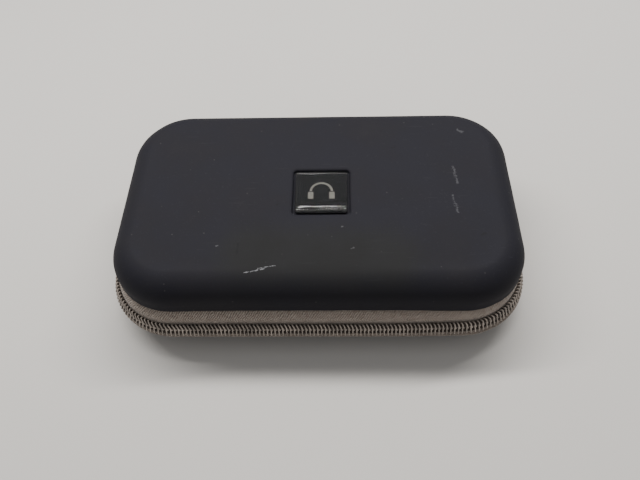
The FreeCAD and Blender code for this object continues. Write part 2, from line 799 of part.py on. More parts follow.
def pull():
    """The pull: a flat tab with an eye, whose bar lies under the slider's arch."""
    body = new_body("pull_tab")
    level = of("coil_thick") + of("channel_clear") + of("plate_wall") + of("pull_lift")
    half_wide = of("pull_wide") / 2
    back = -(of("pull_bar") / 2)
    tip = of("pull_long")
    plan = sketch_on(body, "XY_Plane", "pull_plan", level)
    taper = half_wide / 3
    polygon(
        plan,
        [
            (back, -half_wide + taper),
            (back + taper, -half_wide),
            (tip - taper, -half_wide),
            (tip, -half_wide + taper),
            (tip, half_wide - taper),
            (tip - taper, half_wide),
            (back + taper, half_wide),
            (back, half_wide - taper),
        ],
    )
    pad(body, plan, "pull_blank", of("pull_thick"))
    eye = sketch_on(body, "XY_Plane", "pull_eye", level)
    start = of("pull_bar") / 2
    rectangle(
        eye, start, start + of("pull_eye_long"), -of("pull_eye_wide") / 2, of("pull_eye_wide") / 2
    )
    pocket(body, eye, "pull_eye_cut", of("pull_thick"), up=True)
    body.Placement = on_zip()


# ---- The build


def check_document():
    """Stops if anything in the document failed, or a part's solid isn't sound."""
    for thing in doc.Objects:
        if "Invalid" in thing.State or "Error" in thing.State:
            raise RuntimeError(f"{thing.Label} failed to build")
    for part in parts():
        if part.Shape.isNull() or not part.Shape.isValid() or not part.Shape.Solids:
            raise RuntimeError(f"{part.Label} has no sound solid")


def parts():
    kinds = ("PartDesign::Body", "Part::Feature", "Part::Box")
    return [thing for thing in doc.Objects if thing.TypeId in kinds]


def report():
    """The places that the record states: the lid's axis, the pull's axis, and the slider's travel."""
    pull_level = of("coil_thick") + of("channel_clear") + of("plate_wall")
    pull_level = pull_level + of("pull_lift") + of("pull_thick") / 2
    axis = on_zip().multVec(Vector(0, 0, pull_level.value))
    travel = straight_half - of("corner_spare") - slider_centre - of("slider_long") / 2
    hinge_y = half_width + of("hinge_out")
    hinge_z = case_height / 2
    print("case height", case_height.value)
    print("lid axis y, z", hinge_y.value, hinge_z.value)
    print("pull axis", [round(c, 4) for c in axis])
    print("slider travel", round(travel.value, 3))


def build():
    shells()
    mesh_pocket()
    badge()
    zip_strips()
    spine()
    slider()
    pull()
    doc.recompute()
    check_document()
    os.makedirs("parts", exist_ok=True)
    for part in parts():
        part.Shape.exportStep(f"parts/{part.Label}.step")
        box = tight_box(part.Shape)
        ends = [box.XMin, box.XMax, box.YMin, box.YMax, box.ZMin, box.ZMax]
        print(part.Label, len(part.Shape.Solids), round(part.Shape.Volume, 1), [round(e, 2) for e in ends])
    report()
    sys.stdout.flush()


build()
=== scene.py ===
import math

import bmesh
import bpy
import numpy as np
from mathutils import Matrix, Vector, noise


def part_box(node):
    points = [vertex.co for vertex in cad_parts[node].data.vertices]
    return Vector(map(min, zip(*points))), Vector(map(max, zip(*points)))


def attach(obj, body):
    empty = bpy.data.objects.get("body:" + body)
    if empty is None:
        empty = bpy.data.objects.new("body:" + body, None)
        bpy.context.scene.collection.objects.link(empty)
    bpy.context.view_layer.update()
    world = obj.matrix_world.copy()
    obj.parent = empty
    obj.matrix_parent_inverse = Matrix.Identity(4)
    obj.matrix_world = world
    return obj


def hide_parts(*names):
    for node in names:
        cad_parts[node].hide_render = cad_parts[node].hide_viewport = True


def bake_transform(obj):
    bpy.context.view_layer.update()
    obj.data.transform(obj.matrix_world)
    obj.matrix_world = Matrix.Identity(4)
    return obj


bl_info = {
    "name": "Zipped headphone case",
    "version": (1, 0, 0),
    "blender": (4, 5, 0),
    "location": "3D View > Sidebar > Case",
    "description": "Builds a zipped hard case for headphones round its frame, piece by piece",
    "category": "Object",
}

# Pieces are worked out in millimetres and turned into metres when their mesh is made.
# In the band between the rims, u is how far a point lies outside the lid's outline and v how far above the
# zip's middle. s and n are the same directions turned by the zip's lean: s across the chain towards the
# lid, n out of the tape.

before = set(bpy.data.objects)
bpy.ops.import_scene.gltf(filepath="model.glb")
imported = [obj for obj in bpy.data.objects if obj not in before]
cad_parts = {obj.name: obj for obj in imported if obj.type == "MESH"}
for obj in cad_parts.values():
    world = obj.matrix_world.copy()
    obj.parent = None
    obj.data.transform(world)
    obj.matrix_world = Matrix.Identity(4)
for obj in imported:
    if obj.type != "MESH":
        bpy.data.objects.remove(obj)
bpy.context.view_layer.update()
LID, BASE = "lid", "base"
TOP, BOTTOM = 1, -1


def low(node):
    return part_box(node)[0] * 1000


def high(node):
    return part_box(node)[1] * 1000


HALF_LENGTH = high("lid_shell").x
HALF_WIDTH = high("lid_shell").y
LID_RIM = low("lid_shell").z
LID_TOP = high("lid_shell").z
BASE_RIM = high("base_shell").z
BASE_INSET = HALF_LENGTH - high("base_shell").x
ZIP_LEVEL = (LID_RIM + BASE_RIM) / 2
HALF_BAND = (LID_RIM - BASE_RIM) / 2
RECESS_FLOOR = low("badge_plate").z
BADGE_MIDDLE = (low("badge_plate") + high("badge_plate")) / 2
BADGE_HALF = (high("badge_plate").x - low("badge_plate").x) / 2
SPINE_HALF = high("spine_outer").x
SPINE_GAP = 0.1
LINING_INSET = HALF_LENGTH - high("lid_lining").x
BINDING_THICK = 0.65
TAPE_THICK = 0.6
TAPE_GAP = 0.4
SEWN_WIDTH = 3.2


# ---- What a user would change


def length(name, description, default):
    return bpy.props.FloatProperty(name=name, description=description, default=default, unit="LENGTH")


def colour(name, description, default):
    return bpy.props.FloatVectorProperty(
        name=name, description=description, default=default, size=3, min=0, max=1, subtype="COLOR"
    )


class CaseSizes(bpy.types.PropertyGroup):
    """Sizes that the frame leaves open."""

    corner_radius: length("Corner radius", "Of the outline's corners", 0.024)
    lid_round: length("Lid round", "Between the lid's wall and its top", 0.0105)
    base_round: length("Base round", "Between the base's wall and its bottom", 0.007)
    crown: length("Crown", "By which the lid's top falls towards its edge", 0.0007)
    zip_lean: bpy.props.FloatProperty(
        name="Zip lean", description="How far the chain faces upwards", default=math.radians(20), unit="ROTATION"
    )
    zip_hang: length("Zip hang", "How much lower the chain lies at the front", 0.0018)
    coil_pitch: length("Coil pitch", "From one turn of the coil to the next", 0.00148)
    strand: length("Strand", "Thickness of the coil's strand", 0.00062)
    stitch: length("Stitch", "Length of one stitch round a rim", 0.003)
    net_cell: length("Net cell", "Across one opening of the pocket's net", 0.0026)


class CaseColours(bpy.types.PropertyGroup):
    """Base colours, linear."""

    skin: colour("Skin", "Of the moulded shells", (0.0106, 0.0101, 0.0147))
    tape: colour("Tape", "Of the zip's woven tape", (0.300, 0.258, 0.222))
    coil: colour("Coil", "Of the zip's coils", (0.400, 0.345, 0.300))
    # Near black: the filler cord is a real part, and its colour paints the shade that shows in the gaps between the
    # coil's turns.
    cord: colour("Filler cord", "Inside the coils", (0.030, 0.022, 0.018))
    lining: colour("Lining", "Of the knitted linings", (0.022, 0.022, 0.025))
    trim: colour("Trim", "Of the bindings, the spine and the elastic", (0.016, 0.016, 0.018))
    thread: colour("Thread", "Of the stitches", (0.055, 0.052, 0.050))
    metal: colour("Metal", "Of the slider and its pull", (0.20, 0.195, 0.19))
    badge: colour("Badge", "Of the badge's plate", (0.003, 0.003, 0.004))
    print_ink: colour("Mark", "Of the mark on the badge", (0.24, 0.235, 0.20))
    floor: colour("Floor", "Of the table", (0.625, 0.602, 0.573))


# ---- Outlines


def legs_round(half_x, half_y, radius, start):
    """The lines and arcs of a rounded rectangle, anticlockwise from (-start, half_y) at its back."""
    sx, sy = half_x - radius, half_y - radius
    quarter = radius * math.pi / 2
    return [
        ("line", (-start, half_y), (-sx, half_y), sx - start),
        ("arc", (-sx, sy), 90, quarter),
        ("line", (-half_x, sy), (-half_x, -sy), 2 * sy),
        ("arc", (-sx, -sy), 180, quarter),
        ("line", (-sx, -half_y), (sx, -half_y), 2 * sx),
        ("arc", (sx, -sy), 270, quarter),
        ("line", (half_x, -sy), (half_x, sy), 2 * sy),
        ("arc", (sx, sy), 0, quarter),
        ("line", (sx, half_y), (start, half_y), sx - start),
    ]


def on_leg(leg, radius, share):
    """Points and outward directions at shares of a leg, from 0 at its start to 1 at its end."""
    kind, first, second, _ = leg
    if kind == "arc":
        turn = np.radians(second + 90 * share)
        out = np.stack([np.cos(turn), np.sin(turn)], axis=1)
        return np.array(first) + out * radius, out
    first, second = np.array(first, float), np.array(second, float)
    way = (second - first) / np.linalg.norm(second - first)
    out = np.tile([way[1], -way[0]], (len(share), 1))
    return first + np.outer(share, second - first), out


def along_outline(distance, half_x, half_y, radius, start):
    """Points and outward directions at distances round the outline from (-start, half_y)."""
    distance = np.atleast_1d(np.asarray(distance, float))
    points, outs = np.zeros((len(distance), 2)), np.zeros((len(distance), 2))
    gone = 0.0
    legs = legs_round(half_x, half_y, radius, start)
    for number, leg in enumerate(legs):
        here = distance >= gone if number else np.ones(len(distance), bool)
        share = (distance[here] - gone) / leg[3]
        points[here], outs[here] = on_leg(leg, radius, share)
        gone += leg[3]
    return points, outs


def outline_length(half_x, half_y, radius, start):
    return sum(leg[3] for leg in legs_round(half_x, half_y, radius, start))


COUNTS = (38, 26, 32, 26, 76, 26, 32, 26, 38)


def outline(half_x, half_y, radius, counts=COUNTS):
    """The whole outline as points that correspond from one inset to the next."""
    points = []
    for leg, count in zip(legs_round(half_x, half_y, radius, 0), counts):
        points.append(on_leg(leg, radius, np.arange(count) / count)[0])
    return np.concatenate(points)


def case_ring(inset, level, counts=COUNTS):
    """The case's outline moved inwards, at one level."""
    radius = size_of("corner_radius") - inset
    flat = outline(HALF_LENGTH - inset, HALF_WIDTH - inset, radius, counts)
    return np.column_stack([flat, np.full(len(flat), level)])


def size_of(name):
    """A size of the case in millimetres."""
    return getattr(bpy.context.scene.case_sizes, name) * 1000


def colour_of(name):
    return (*getattr(bpy.context.scene.case_colours, name), 1)


def soften(points, radius, steps=5):
    """A flat line through points with its inner corners rounded."""
    points = [np.array(p, float) for p in points]
    line = [points[0]]
    for before, corner, after in zip(points, points[1:], points[2:]):
        back, ahead = before - corner, after - corner
        reach = min(radius, np.linalg.norm(back) * 0.49, np.linalg.norm(ahead) * 0.49)
        first = corner + back / np.linalg.norm(back) * reach
        last = corner + ahead / np.linalg.norm(ahead) * reach
        for k in range(steps + 1):
            t = k / steps
            line.append(first * (1 - t) ** 2 + corner * 2 * t * (1 - t) + last * t * t)
    line.append(points[-1])
    return np.array(line)


def evened(line, spacing):
    """The same line at even steps of about that spacing."""
    runs = np.linalg.norm(np.diff(line, axis=0), axis=1)
    gone = np.concatenate([[0], np.cumsum(runs)])
    count = max(int(round(gone[-1] / spacing)), 2)
    at = np.linspace(0, gone[-1], count + 1)
    return np.column_stack([np.interp(at, gone, line[:, k]) for k in range(line.shape[1])]), at


# ---- Meshes


def make_piece(name, verts, faces, run=None, sharp=None, material_of_face=None):
    """An object of that mesh, smooth, with its rest place in millimetres kept for its material."""
    mesh = bpy.data.meshes.new(name)
    verts = np.asarray(verts, float)
    mesh.from_pydata((verts / 1000).tolist(), [], [list(map(int, f)) for f in faces])
    place = mesh.attributes.new("place", "FLOAT_VECTOR", "POINT")
    place.data.foreach_set("vector", verts.astype(np.float32).ravel())
    if run is not None:
        kept = mesh.attributes.new("run", "FLOAT_VECTOR", "POINT")
        kept.data.foreach_set("vector", np.asarray(run, np.float32).ravel())
    if material_of_face is not None:
        mesh.polygons.foreach_set("material_index", np.asarray(material_of_face, np.int32))
    work = bmesh.new()
    work.from_mesh(mesh)
    bmesh.ops.recalc_face_normals(work, faces=work.faces)
    work.to_mesh(mesh)
    work.free()
    mesh.polygons.foreach_set("use_smooth", np.ones(len(mesh.polygons), bool))
    if sharp:
        mesh.set_sharp_from_angle(angle=math.radians(sharp))
    mesh.validate()
    piece = bpy.data.objects.new(name, mesh)
    bpy.context.scene.collection.objects.link(piece)
    return piece


def ring_faces(ring_count, points, closed=False):
    """Quads between rings of equally many points."""
    faces = []
    for r in range(ring_count if closed else ring_count - 1):
        a, b = r * points, ((r + 1) % ring_count) * points
        for p in range(points):
            q = (p + 1) % points
            faces.append((a + p, a + q, b + q, b + p))
    return faces


def lofted(name, rings, closed=False, run=None):
    """A skin through rings, closed on itself or closed at its ends by a point in the middle of each."""
    points = len(rings[0])
    verts = list(np.concatenate(rings))
    faces = ring_faces(len(rings), points, closed)
    for ring_at in () if closed else (0, len(rings) - 1):
        middle = len(verts)
        verts.append(np.mean(rings[ring_at], axis=0))
        first = ring_at * points
        faces += [(first + p, first + (p + 1) % points, middle) for p in range(points)]
    return make_piece(name, verts, faces, run)


def tube(path, across, radius, sides=6, flat=1.0):
    """Vertices and faces of a capped tube. across is a direction, for all or each, that isn't the path's own."""
    path = np.asarray(path, float)
    ahead = np.gradient(path, axis=0)
    ahead /= np.linalg.norm(ahead, axis=1, keepdims=True)
    side = np.cross(ahead, across)
    side /= np.linalg.norm(side, axis=1, keepdims=True)
    up = np.cross(side, ahead)
    turn = np.arange(sides) * 2 * math.pi / sides
    thick = np.broadcast_to(np.asarray(radius, float), (len(path),))[:, None, None]
    ring = side[:, None] * np.cos(turn)[None, :, None] + up[:, None] * np.sin(turn)[None, :, None] * flat
    verts = (path[:, None] + ring * thick).reshape(-1, 3)
    faces = ring_faces(len(path), sides)
    faces.append(tuple(range(sides))[::-1])
    faces.append(tuple(range(len(verts) - sides, len(verts))))
    return verts, faces


def gathered(parts):
    """Vertices and faces of several meshes as one."""
    verts, faces, gone = [], [], 0
    for some, made in parts:
        verts.append(some)
        faces += [tuple(k + gone for k in face) for face in made]
        gone += len(some)
    return np.concatenate(verts), faces


def ripple(points, size, depth, seed):
    """A small unevenness at each point, the same every time."""
    return np.array([noise.noise(Vector((p[0] / size, p[1] / size, p[2] / size + seed))) for p in points]) * depth


def finish_piece(piece, materials, node_names, body=None):
    """Gives a piece its materials, hides the CAD nodes it stands for, and gives it its body."""
    for material in materials:
        piece.data.materials.append(material)
    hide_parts(*node_names)
    if body:
        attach(piece, body)
    return piece


# ---- The chain's place in the band


def lean_of_zip():
    return bpy.context.scene.case_sizes.zip_lean


def chain_place(s, n):
    """(u, v) of a point on the chain."""
    level, upright = math.cos(lean_of_zip()), math.sin(lean_of_zip())
    thick, proud = 1.9, 2.7
    u = proud - thick * level - np.asarray(s) * upright + np.asarray(n) * level
    v = -thick * upright + np.asarray(s) * level + np.asarray(n) * upright
    return u, v


def along_zip(distance):
    """Points and outward directions at distances along the zip from the spine's left edge."""
    return along_outline(distance, HALF_LENGTH, HALF_WIDTH, size_of("corner_radius"), SPINE_HALF + SPINE_GAP)


def zip_points(distance, u, v, give=1.0, splay=0.0):
    """Points in the band at distances along the zip from the spine's left edge.

    Away from the spine the chain hangs a little lower and further out. give is how much of that a point takes,
    and splay is how much further out still it stands there. The right front corner is drawn in.
    """
    flat, out = along_zip(distance)
    distance = np.asarray(distance)
    whole = outline_length(HALF_LENGTH, HALF_WIDTH, size_of("corner_radius"), SPINE_HALF + SPINE_GAP)
    firm, easing, right_corner, corner_reach = 30, 50, whole * 0.68, 26
    loose = np.clip((np.minimum(distance, whole - distance) - firm) / easing, 0, 1)
    loose = loose * loose * (3 - 2 * loose)
    hang = loose * give * size_of("zip_hang")
    tucked = 1.3 * np.exp(-(((distance - right_corner) / corner_reach) ** 2))
    u = np.asarray(u) + hang * 0.26 + loose * (splay - tucked * np.clip(give, 0, 1))
    v = np.asarray(v) - hang
    return np.column_stack([flat + out * u.reshape(-1, 1), ZIP_LEVEL + v])


def zip_stations():
    """Distances along the zip where its pieces meet: start, left end, right end, rear right corner, end."""
    legs = legs_round(HALF_LENGTH, HALF_WIDTH, size_of("corner_radius"), SPINE_HALF + SPINE_GAP)
    reach = np.concatenate([[0], np.cumsum([leg[3] for leg in legs])])
    return reach[0], reach[2], reach[7], reach[8], reach[9]


# ---- Shader effects that several finishes share


def feed(tree, made, wires):
    """Sets a node's inputs, or wires them where the value is a socket."""
    for socket, value in dict(wires).items():
        if isinstance(value, bpy.types.NodeSocket):
            tree.links.new(value, made.inputs[socket])
        else:
            made.inputs[socket].default_value = value


def node(tree, kind, wires=(), **settings):
    """Adds a node, then sets or wires its inputs."""
    made = tree.nodes.new(kind)
    for key, value in settings.items():
        setattr(made, key, value)
    feed(tree, made, wires)
    return made


def sums(tree, operation, *values, clamp=False):
    return node(tree, "ShaderNodeMath", enumerate(values), operation=operation, use_clamp=clamp).outputs[0]


def product(tree, *values):
    return sums(tree, "MULTIPLY", *values)


def raised(tree, start, value, share):
    """A value's share added to a start."""
    return sums(tree, "ADD", start, product(tree, value, share))


def vectors(tree, operation, *values):
    made = node(tree, "ShaderNodeVectorMath", enumerate(values), operation=operation)
    return made.outputs["Value" if operation in ("LENGTH", "DOT_PRODUCT", "DISTANCE") else "Vector"]


def span(tree, value, from_low, from_high, to_low=0.0, to_high=1.0):
    """Maps a value smoothly from one range to another, kept inside it."""
    wires = {0: value, 1: from_low, 2: from_high, 3: to_low, 4: to_high}
    return node(tree, "ShaderNodeMapRange", wires, interpolation_type="SMOOTHSTEP").outputs[0]


def mixed(tree, share, one, other):
    wires = {0: share, 6: one, 7: other}
    return node(tree, "ShaderNodeMix", wires, data_type="RGBA").outputs[2]


def noisy(tree, place, scale, detail=3.0, rough=0.55):
    wires = {"Vector": place, "Scale": scale, "Detail": detail, "Roughness": rough}
    return node(tree, "ShaderNodeTexNoise", wires).outputs[0]


def new_group(name, inputs, outputs):
    """An empty node group with those sockets: its tree, its inputs by name, and a function for its outputs."""
    tree = bpy.data.node_groups.new(name, "ShaderNodeTree")
    for label, kind, value in inputs:
        socket = tree.interface.new_socket(name=label, in_out="INPUT", socket_type=f"NodeSocket{kind}")
        if value is not None:
            socket.default_value = value
    for label, kind in outputs:
        tree.interface.new_socket(name=label, in_out="OUTPUT", socket_type=f"NodeSocket{kind}")
    entry = tree.nodes.new("NodeGroupInput")
    leave = tree.nodes.new("NodeGroupOutput")

    def put_out(label, value):
        tree.links.new(value, leave.inputs[label])

    return tree, {label: entry.outputs[label] for label, _, _ in inputs}, put_out


def grain_group():
    """Fine grain with broad unevenness, as on a soft moulded skin."""
    inputs = [("Place", "Vector", None), ("Fine", "Float", 2.6), ("Broad", "Float", 0.05)]
    outputs = [("Height", "Float"), ("Blotch", "Float"), ("Speckle", "Float")]
    tree, given, put_out = new_group("fine_grain", inputs, outputs)
    fine = noisy(tree, given["Place"], given["Fine"], 2.0, 0.6)
    cells = node(tree, "ShaderNodeTexVoronoi", {"Vector": given["Place"], "Scale": given["Fine"]}).outputs[0]
    height = raised(tree, fine, cells, 0.35)
    broad = noisy(tree, given["Place"], given["Broad"], 4.0, 0.6)
    speckle = noisy(tree, given["Place"], product(tree, given["Fine"], 0.45), 1.0, 0.5)
    put_out("Height", height)
    put_out("Blotch", span(tree, broad, 0.3, 0.7))
    put_out("Speckle", span(tree, speckle, 0.62, 0.78))
    return tree


def stroke_group():
    """A mark along a straight stroke, ragged at its edge."""
    inputs = [(name, "Vector", None) for name in ("Place", "From", "To")]
    inputs += [("Width", "Float", 1.0), ("Ragged", "Float", 0.5)]
    tree, given, put_out = new_group("stroke_mark", inputs, [("Mask", "Float")])
    away = vectors(tree, "SUBTRACT", given["Place"], given["From"])
    whole = vectors(tree, "SUBTRACT", given["To"], given["From"])
    share = sums(
        tree,
        "DIVIDE",
        vectors(tree, "DOT_PRODUCT", away, whole),
        sums(tree, "ADD", vectors(tree, "DOT_PRODUCT", whole, whole), 0.0001),
        clamp=True,
    )
    scaled = node(tree, "ShaderNodeVectorMath", {0: whole, "Scale": share}, operation="SCALE").outputs[0]
    gap = vectors(tree, "LENGTH", vectors(tree, "SUBTRACT", away, scaled))
    uneven = sums(tree, "SUBTRACT", noisy(tree, given["Place"], 1.1, 4.0, 0.65), 0.5)
    ragged = product(tree, product(tree, uneven, given["Ragged"]), given["Width"])
    reach = sums(tree, "DIVIDE", raised(tree, gap, ragged, 4.0), given["Width"])
    put_out("Mask", span(tree, reach, 1.0, 0.25))
    return tree


def scratch_group():
    """Fine hair scratches that run in two directions, and rubbed patches."""
    inputs = [("Place", "Vector", None), ("Amount", "Float", 0.5)]
    tree, given, put_out = new_group("hair_scratches", inputs, [("Hairs", "Float"), ("Rub", "Float")])
    found = []
    for turn, seed in ((0.5, 3.0), (-0.9, 17.0)):
        wires = {"Vector": given["Place"], "Location": (seed, 0, 0), "Rotation": (0, 0, turn)}
        turned = node(tree, "ShaderNodeMapping", {**wires, "Scale": (0.06, 1.3, 0.6)}).outputs[0]
        found.append(span(tree, noisy(tree, turned, 1.0, 2.0, 0.5), 0.715, 0.76))
    hairs = sums(tree, "MAXIMUM", *found)
    rub = span(tree, noisy(tree, given["Place"], 0.035, 5.0, 0.7), 0.52, 0.75)
    put_out("Hairs", product(tree, hairs, given["Amount"]))
    put_out("Rub", product(tree, rub, given["Amount"]))
    return tree


def dust_group():
    """Small pale specks, sparse."""
    inputs = [("Place", "Vector", None), ("Spread", "Float", 0.45), ("Amount", "Float", 0.5)]
    tree, given, put_out = new_group("dust_specks", inputs, [("Mask", "Float")])
    cells = node(tree, "ShaderNodeTexVoronoi", {"Vector": given["Place"], "Scale": given["Spread"]})
    thinned = span(tree, node(tree, "ShaderNodeSeparateColor", {0: cells.outputs["Color"]}).outputs[0], 0.86, 0.9)
    dot = span(tree, cells.outputs["Distance"], 0.12, 0.05)
    put_out("Mask", product(tree, product(tree, dot, thinned), given["Amount"]))
    return tree


def herringbone_group():
    """Woven bands whose diagonal turns from one band to the next."""
    inputs = [("Run", "Vector", None), ("Pitch", "Float", 0.9), ("Band", "Float", 2.0)]
    outputs = [("Height", "Float"), ("Yarn", "Float"), ("Fuzz", "Float")]
    tree, given, put_out = new_group("herringbone_weave", inputs, outputs)
    parts = node(tree, "ShaderNodeSeparateXYZ", {0: given["Run"]})
    along, across = parts.outputs[0], parts.outputs[1]
    zigzag = sums(tree, "PINGPONG", across, given["Band"])
    phase = sums(tree, "DIVIDE", raised(tree, along, zigzag, 1.1), given["Pitch"])
    uneven = noisy(tree, given["Run"], 0.7, 2.0, 0.6)
    phase = raised(tree, phase, uneven, 1.6)
    diagonal = sums(tree, "SINE", product(tree, phase, 2 * math.pi))
    weft = sums(tree, "SINE", sums(tree, "DIVIDE", product(tree, across, 2 * math.pi), 0.36))
    ribs = product(tree, sums(tree, "ADD", diagonal, 1.0), 0.5)
    height = raised(tree, ribs, weft, 0.22)
    fuzz = noisy(tree, given["Run"], 3.2, 4.0, 0.7)
    yarn = noisy(tree, given["Run"], 0.9, 3.0, 0.6)
    put_out("Height", raised(tree, height, fuzz, 0.5))
    put_out("Yarn", span(tree, yarn, 0.35, 0.68))
    put_out("Fuzz", fuzz)
    return tree


def knit_group():
    """Rows of knitted loops on a surface that faces any way, from its place."""
    inputs = [("Place", "Vector", None), ("Pitch", "Float", 0.9)]
    tree, given, put_out = new_group("fine_knit", inputs, [("Height", "Float"), ("Shade", "Float")])
    parts = node(tree, "ShaderNodeSeparateXYZ", {0: given["Place"]})
    across = raised(tree, parts.outputs[0], parts.outputs[2], 0.7)
    along = raised(tree, parts.outputs[1], parts.outputs[2], 0.7)
    column = sums(tree, "PINGPONG", across, given["Pitch"])
    phase = sums(tree, "DIVIDE", raised(tree, along, column, 0.9), given["Pitch"])
    loops = sums(tree, "SINE", product(tree, phase, 8.8))
    gutter = sums(tree, "DIVIDE", column, given["Pitch"])
    height = raised(tree, product(tree, loops, 0.35), gutter, 0.4)
    put_out("Height", height)
    put_out("Shade", span(tree, noisy(tree, given["Place"], 0.12, 4.0, 0.65), 0.3, 0.7))
    return tree


EFFECTS = {
    "grain": grain_group,
    "stroke": stroke_group,
    "scratches": scratch_group,
    "dust": dust_group,
    "herringbone": herringbone_group,
    "knit": knit_group,
}


def effect(tree, name, wires):
    """Places one of the shared effects in a material."""
    made = tree.nodes.new("ShaderNodeGroup")
    kept = bpy.data.node_groups.get(EFFECTS[name].__name__)
    if kept is None:
        kept = EFFECTS[name]()
        kept.name = EFFECTS[name].__name__
    made.node_tree = kept
    feed(tree, made, wires)
    return made.outputs


def new_finish(name, **plain):
    """A material with its shader's plain values set, its tree, and the rest place in it."""
    material = bpy.data.materials.new(name)
    material.use_nodes = True
    tree = material.node_tree
    shader = tree.nodes["Principled BSDF"]
    for socket, value in plain.items():
        shader.inputs[socket.replace("_", " ")].default_value = value
    place = node(tree, "ShaderNodeAttribute", attribute_name="place").outputs["Vector"]
    return material, tree, place


def made_once(make):
    """Makes the finish of a name the first time, and finds it after that."""

    def found_or_made(name, *given):
        return bpy.data.materials.get(name) or make(name, *given)

    return found_or_made


def own_place(tree):
    """A place in millimetres on a mesh that keeps no rest place."""
    spot = node(tree, "ShaderNodeTexCoord").outputs["Object"]
    return node(tree, "ShaderNodeVectorMath", {0: spot, "Scale": 1000.0}, operation="SCALE").outputs[0]


def times(base, factor):
    """A colour made darker or lighter."""
    return (*(min(part * factor, 1) for part in base[:3]), 1)


def run_of(tree):
    return node(tree, "ShaderNodeAttribute", attribute_name="run").outputs["Vector"]


def finished(material, tone, dull, height, strength, distance):
    """Wires a colour, a roughness and a height to a material's shader, and gives the material back."""
    tree = material.node_tree
    bump = node(tree, "ShaderNodeBump", {"Height": height, "Strength": strength, "Distance": distance})
    wires = {"Base Color": tone, "Roughness": dull, "Normal": bump.outputs[0]}
    feed(tree, tree.nodes["Principled BSDF"], wires)
    return material


# ---- Finishes


def marks_on_lid(tree, place):
    """The knocks and rubs on the lid, as pale and as dark masks.

    Each stroke is where it starts and ends, its width, how ragged it is, and how strongly it shows.
    """
    seen = vectors(tree, "MULTIPLY", place, (1, 1, 0))
    pale = [
        ((-25.9, -39.1), (-18.5, -37.6), 0.22, 1.5, 0.5),
        ((-21.0, -37.4), (-14.7, -36.3), 0.20, 1.5, 0.45),
        ((54.3, 10.9), (55.3, 2.2), 0.5, 1.8, 0.12),
        ((52.7, -4.2), (53.8, -12.4), 0.5, 1.8, 0.12),
        ((58.6, 32.1), (60.4, 30.9), 0.7, 1.2, 0.12),
        ((-37.2, -27.5), (-36.6, -27.4), 0.4, 0.8, 0.16),
        ((9.4, -19.3), (9.9, -19.1), 0.4, 0.9, 0.14),
        ((13.0, -29.2), (13.8, -28.8), 0.4, 0.9, 0.14),
    ]
    dark = [
        ((61.7, -22.9), (63.0, -22.2), 0.8, 0.8, 0.5),
        ((-29.0, -26.5), (-29.2, -31.0), 0.5, 0.8, 0.5),
        ((-15.4, -8.3), (-15.0, -8.0), 0.6, 0.8, 0.5),
        ((30.4, 21.5), (31.8, 21.9), 0.5, 0.8, 0.4),
    ]
    masks = []
    for marks in (pale, dark):
        total = None
        for start, end, width, ragged, weight in marks:
            wires = {"Place": seen, "From": (*start, 0), "To": (*end, 0), "Width": width, "Ragged": ragged}
            mask = product(tree, effect(tree, "stroke", wires)[0], weight)
            total = mask if total is None else sums(tree, "MAXIMUM", total, mask)
        masks.append(total)
    return masks


@made_once
def skin_finish(name, marked):
    """Smooth soft-touch skin, dull, with fine grain, hair scratches, dust and, on the lid, its knocks."""
    material, tree, place = new_finish(name, Specular_IOR_Level=0.20)
    grain = effect(tree, "grain", {"Place": place, "Fine": 2.8, "Broad": 0.035})
    hairs = effect(tree, "scratches", {"Place": place, "Amount": 0.6})
    dust = effect(tree, "dust", {"Place": place, "Spread": 0.33, "Amount": 0.16})[0]
    base = colour_of("skin")
    warmer = (base[0] * 1.16, base[1] * 1.13, base[2] * 1.02, 1)
    cooler = (base[0] * 0.88, base[1] * 0.90, base[2] * 0.98, 1)
    tone = mixed(tree, grain["Blotch"], cooler, warmer)
    tone = mixed(tree, product(tree, grain["Speckle"], 0.25), tone, (0.026, 0.026, 0.032, 1))
    tone = mixed(tree, product(tree, hairs["Hairs"], 0.15), tone, (0.08, 0.08, 0.09, 1))
    tone = mixed(tree, dust, tone, (0.20, 0.19, 0.18, 1))
    dull = raised(tree, 0.72, grain["Blotch"], 0.06)
    dull = sums(tree, "SUBTRACT", dull, product(tree, hairs["Rub"], 0.06))
    if marked:
        wires = {"Place": place, "From": (-24, -31, LID_TOP), "To": (26, -33, LID_TOP), "Width": 19.0, "Ragged": 0.16}
        stain = product(tree, effect(tree, "stroke", wires)[0], 0.55)
        tone = mixed(tree, stain, tone, (0.0120, 0.0122, 0.0098, 1))
        pale, dark = marks_on_lid(tree, place)
        tone = mixed(tree, pale, tone, (0.34, 0.34, 0.36, 1))
        tone = mixed(tree, dark, tone, (0.006, 0.006, 0.007, 1))
        dull = raised(tree, dull, pale, 0.2)
    height = sums(tree, "SUBTRACT", grain["Height"], product(tree, hairs["Hairs"], 0.6))
    return finished(material, tone, dull, height, 0.22, 0.00006)


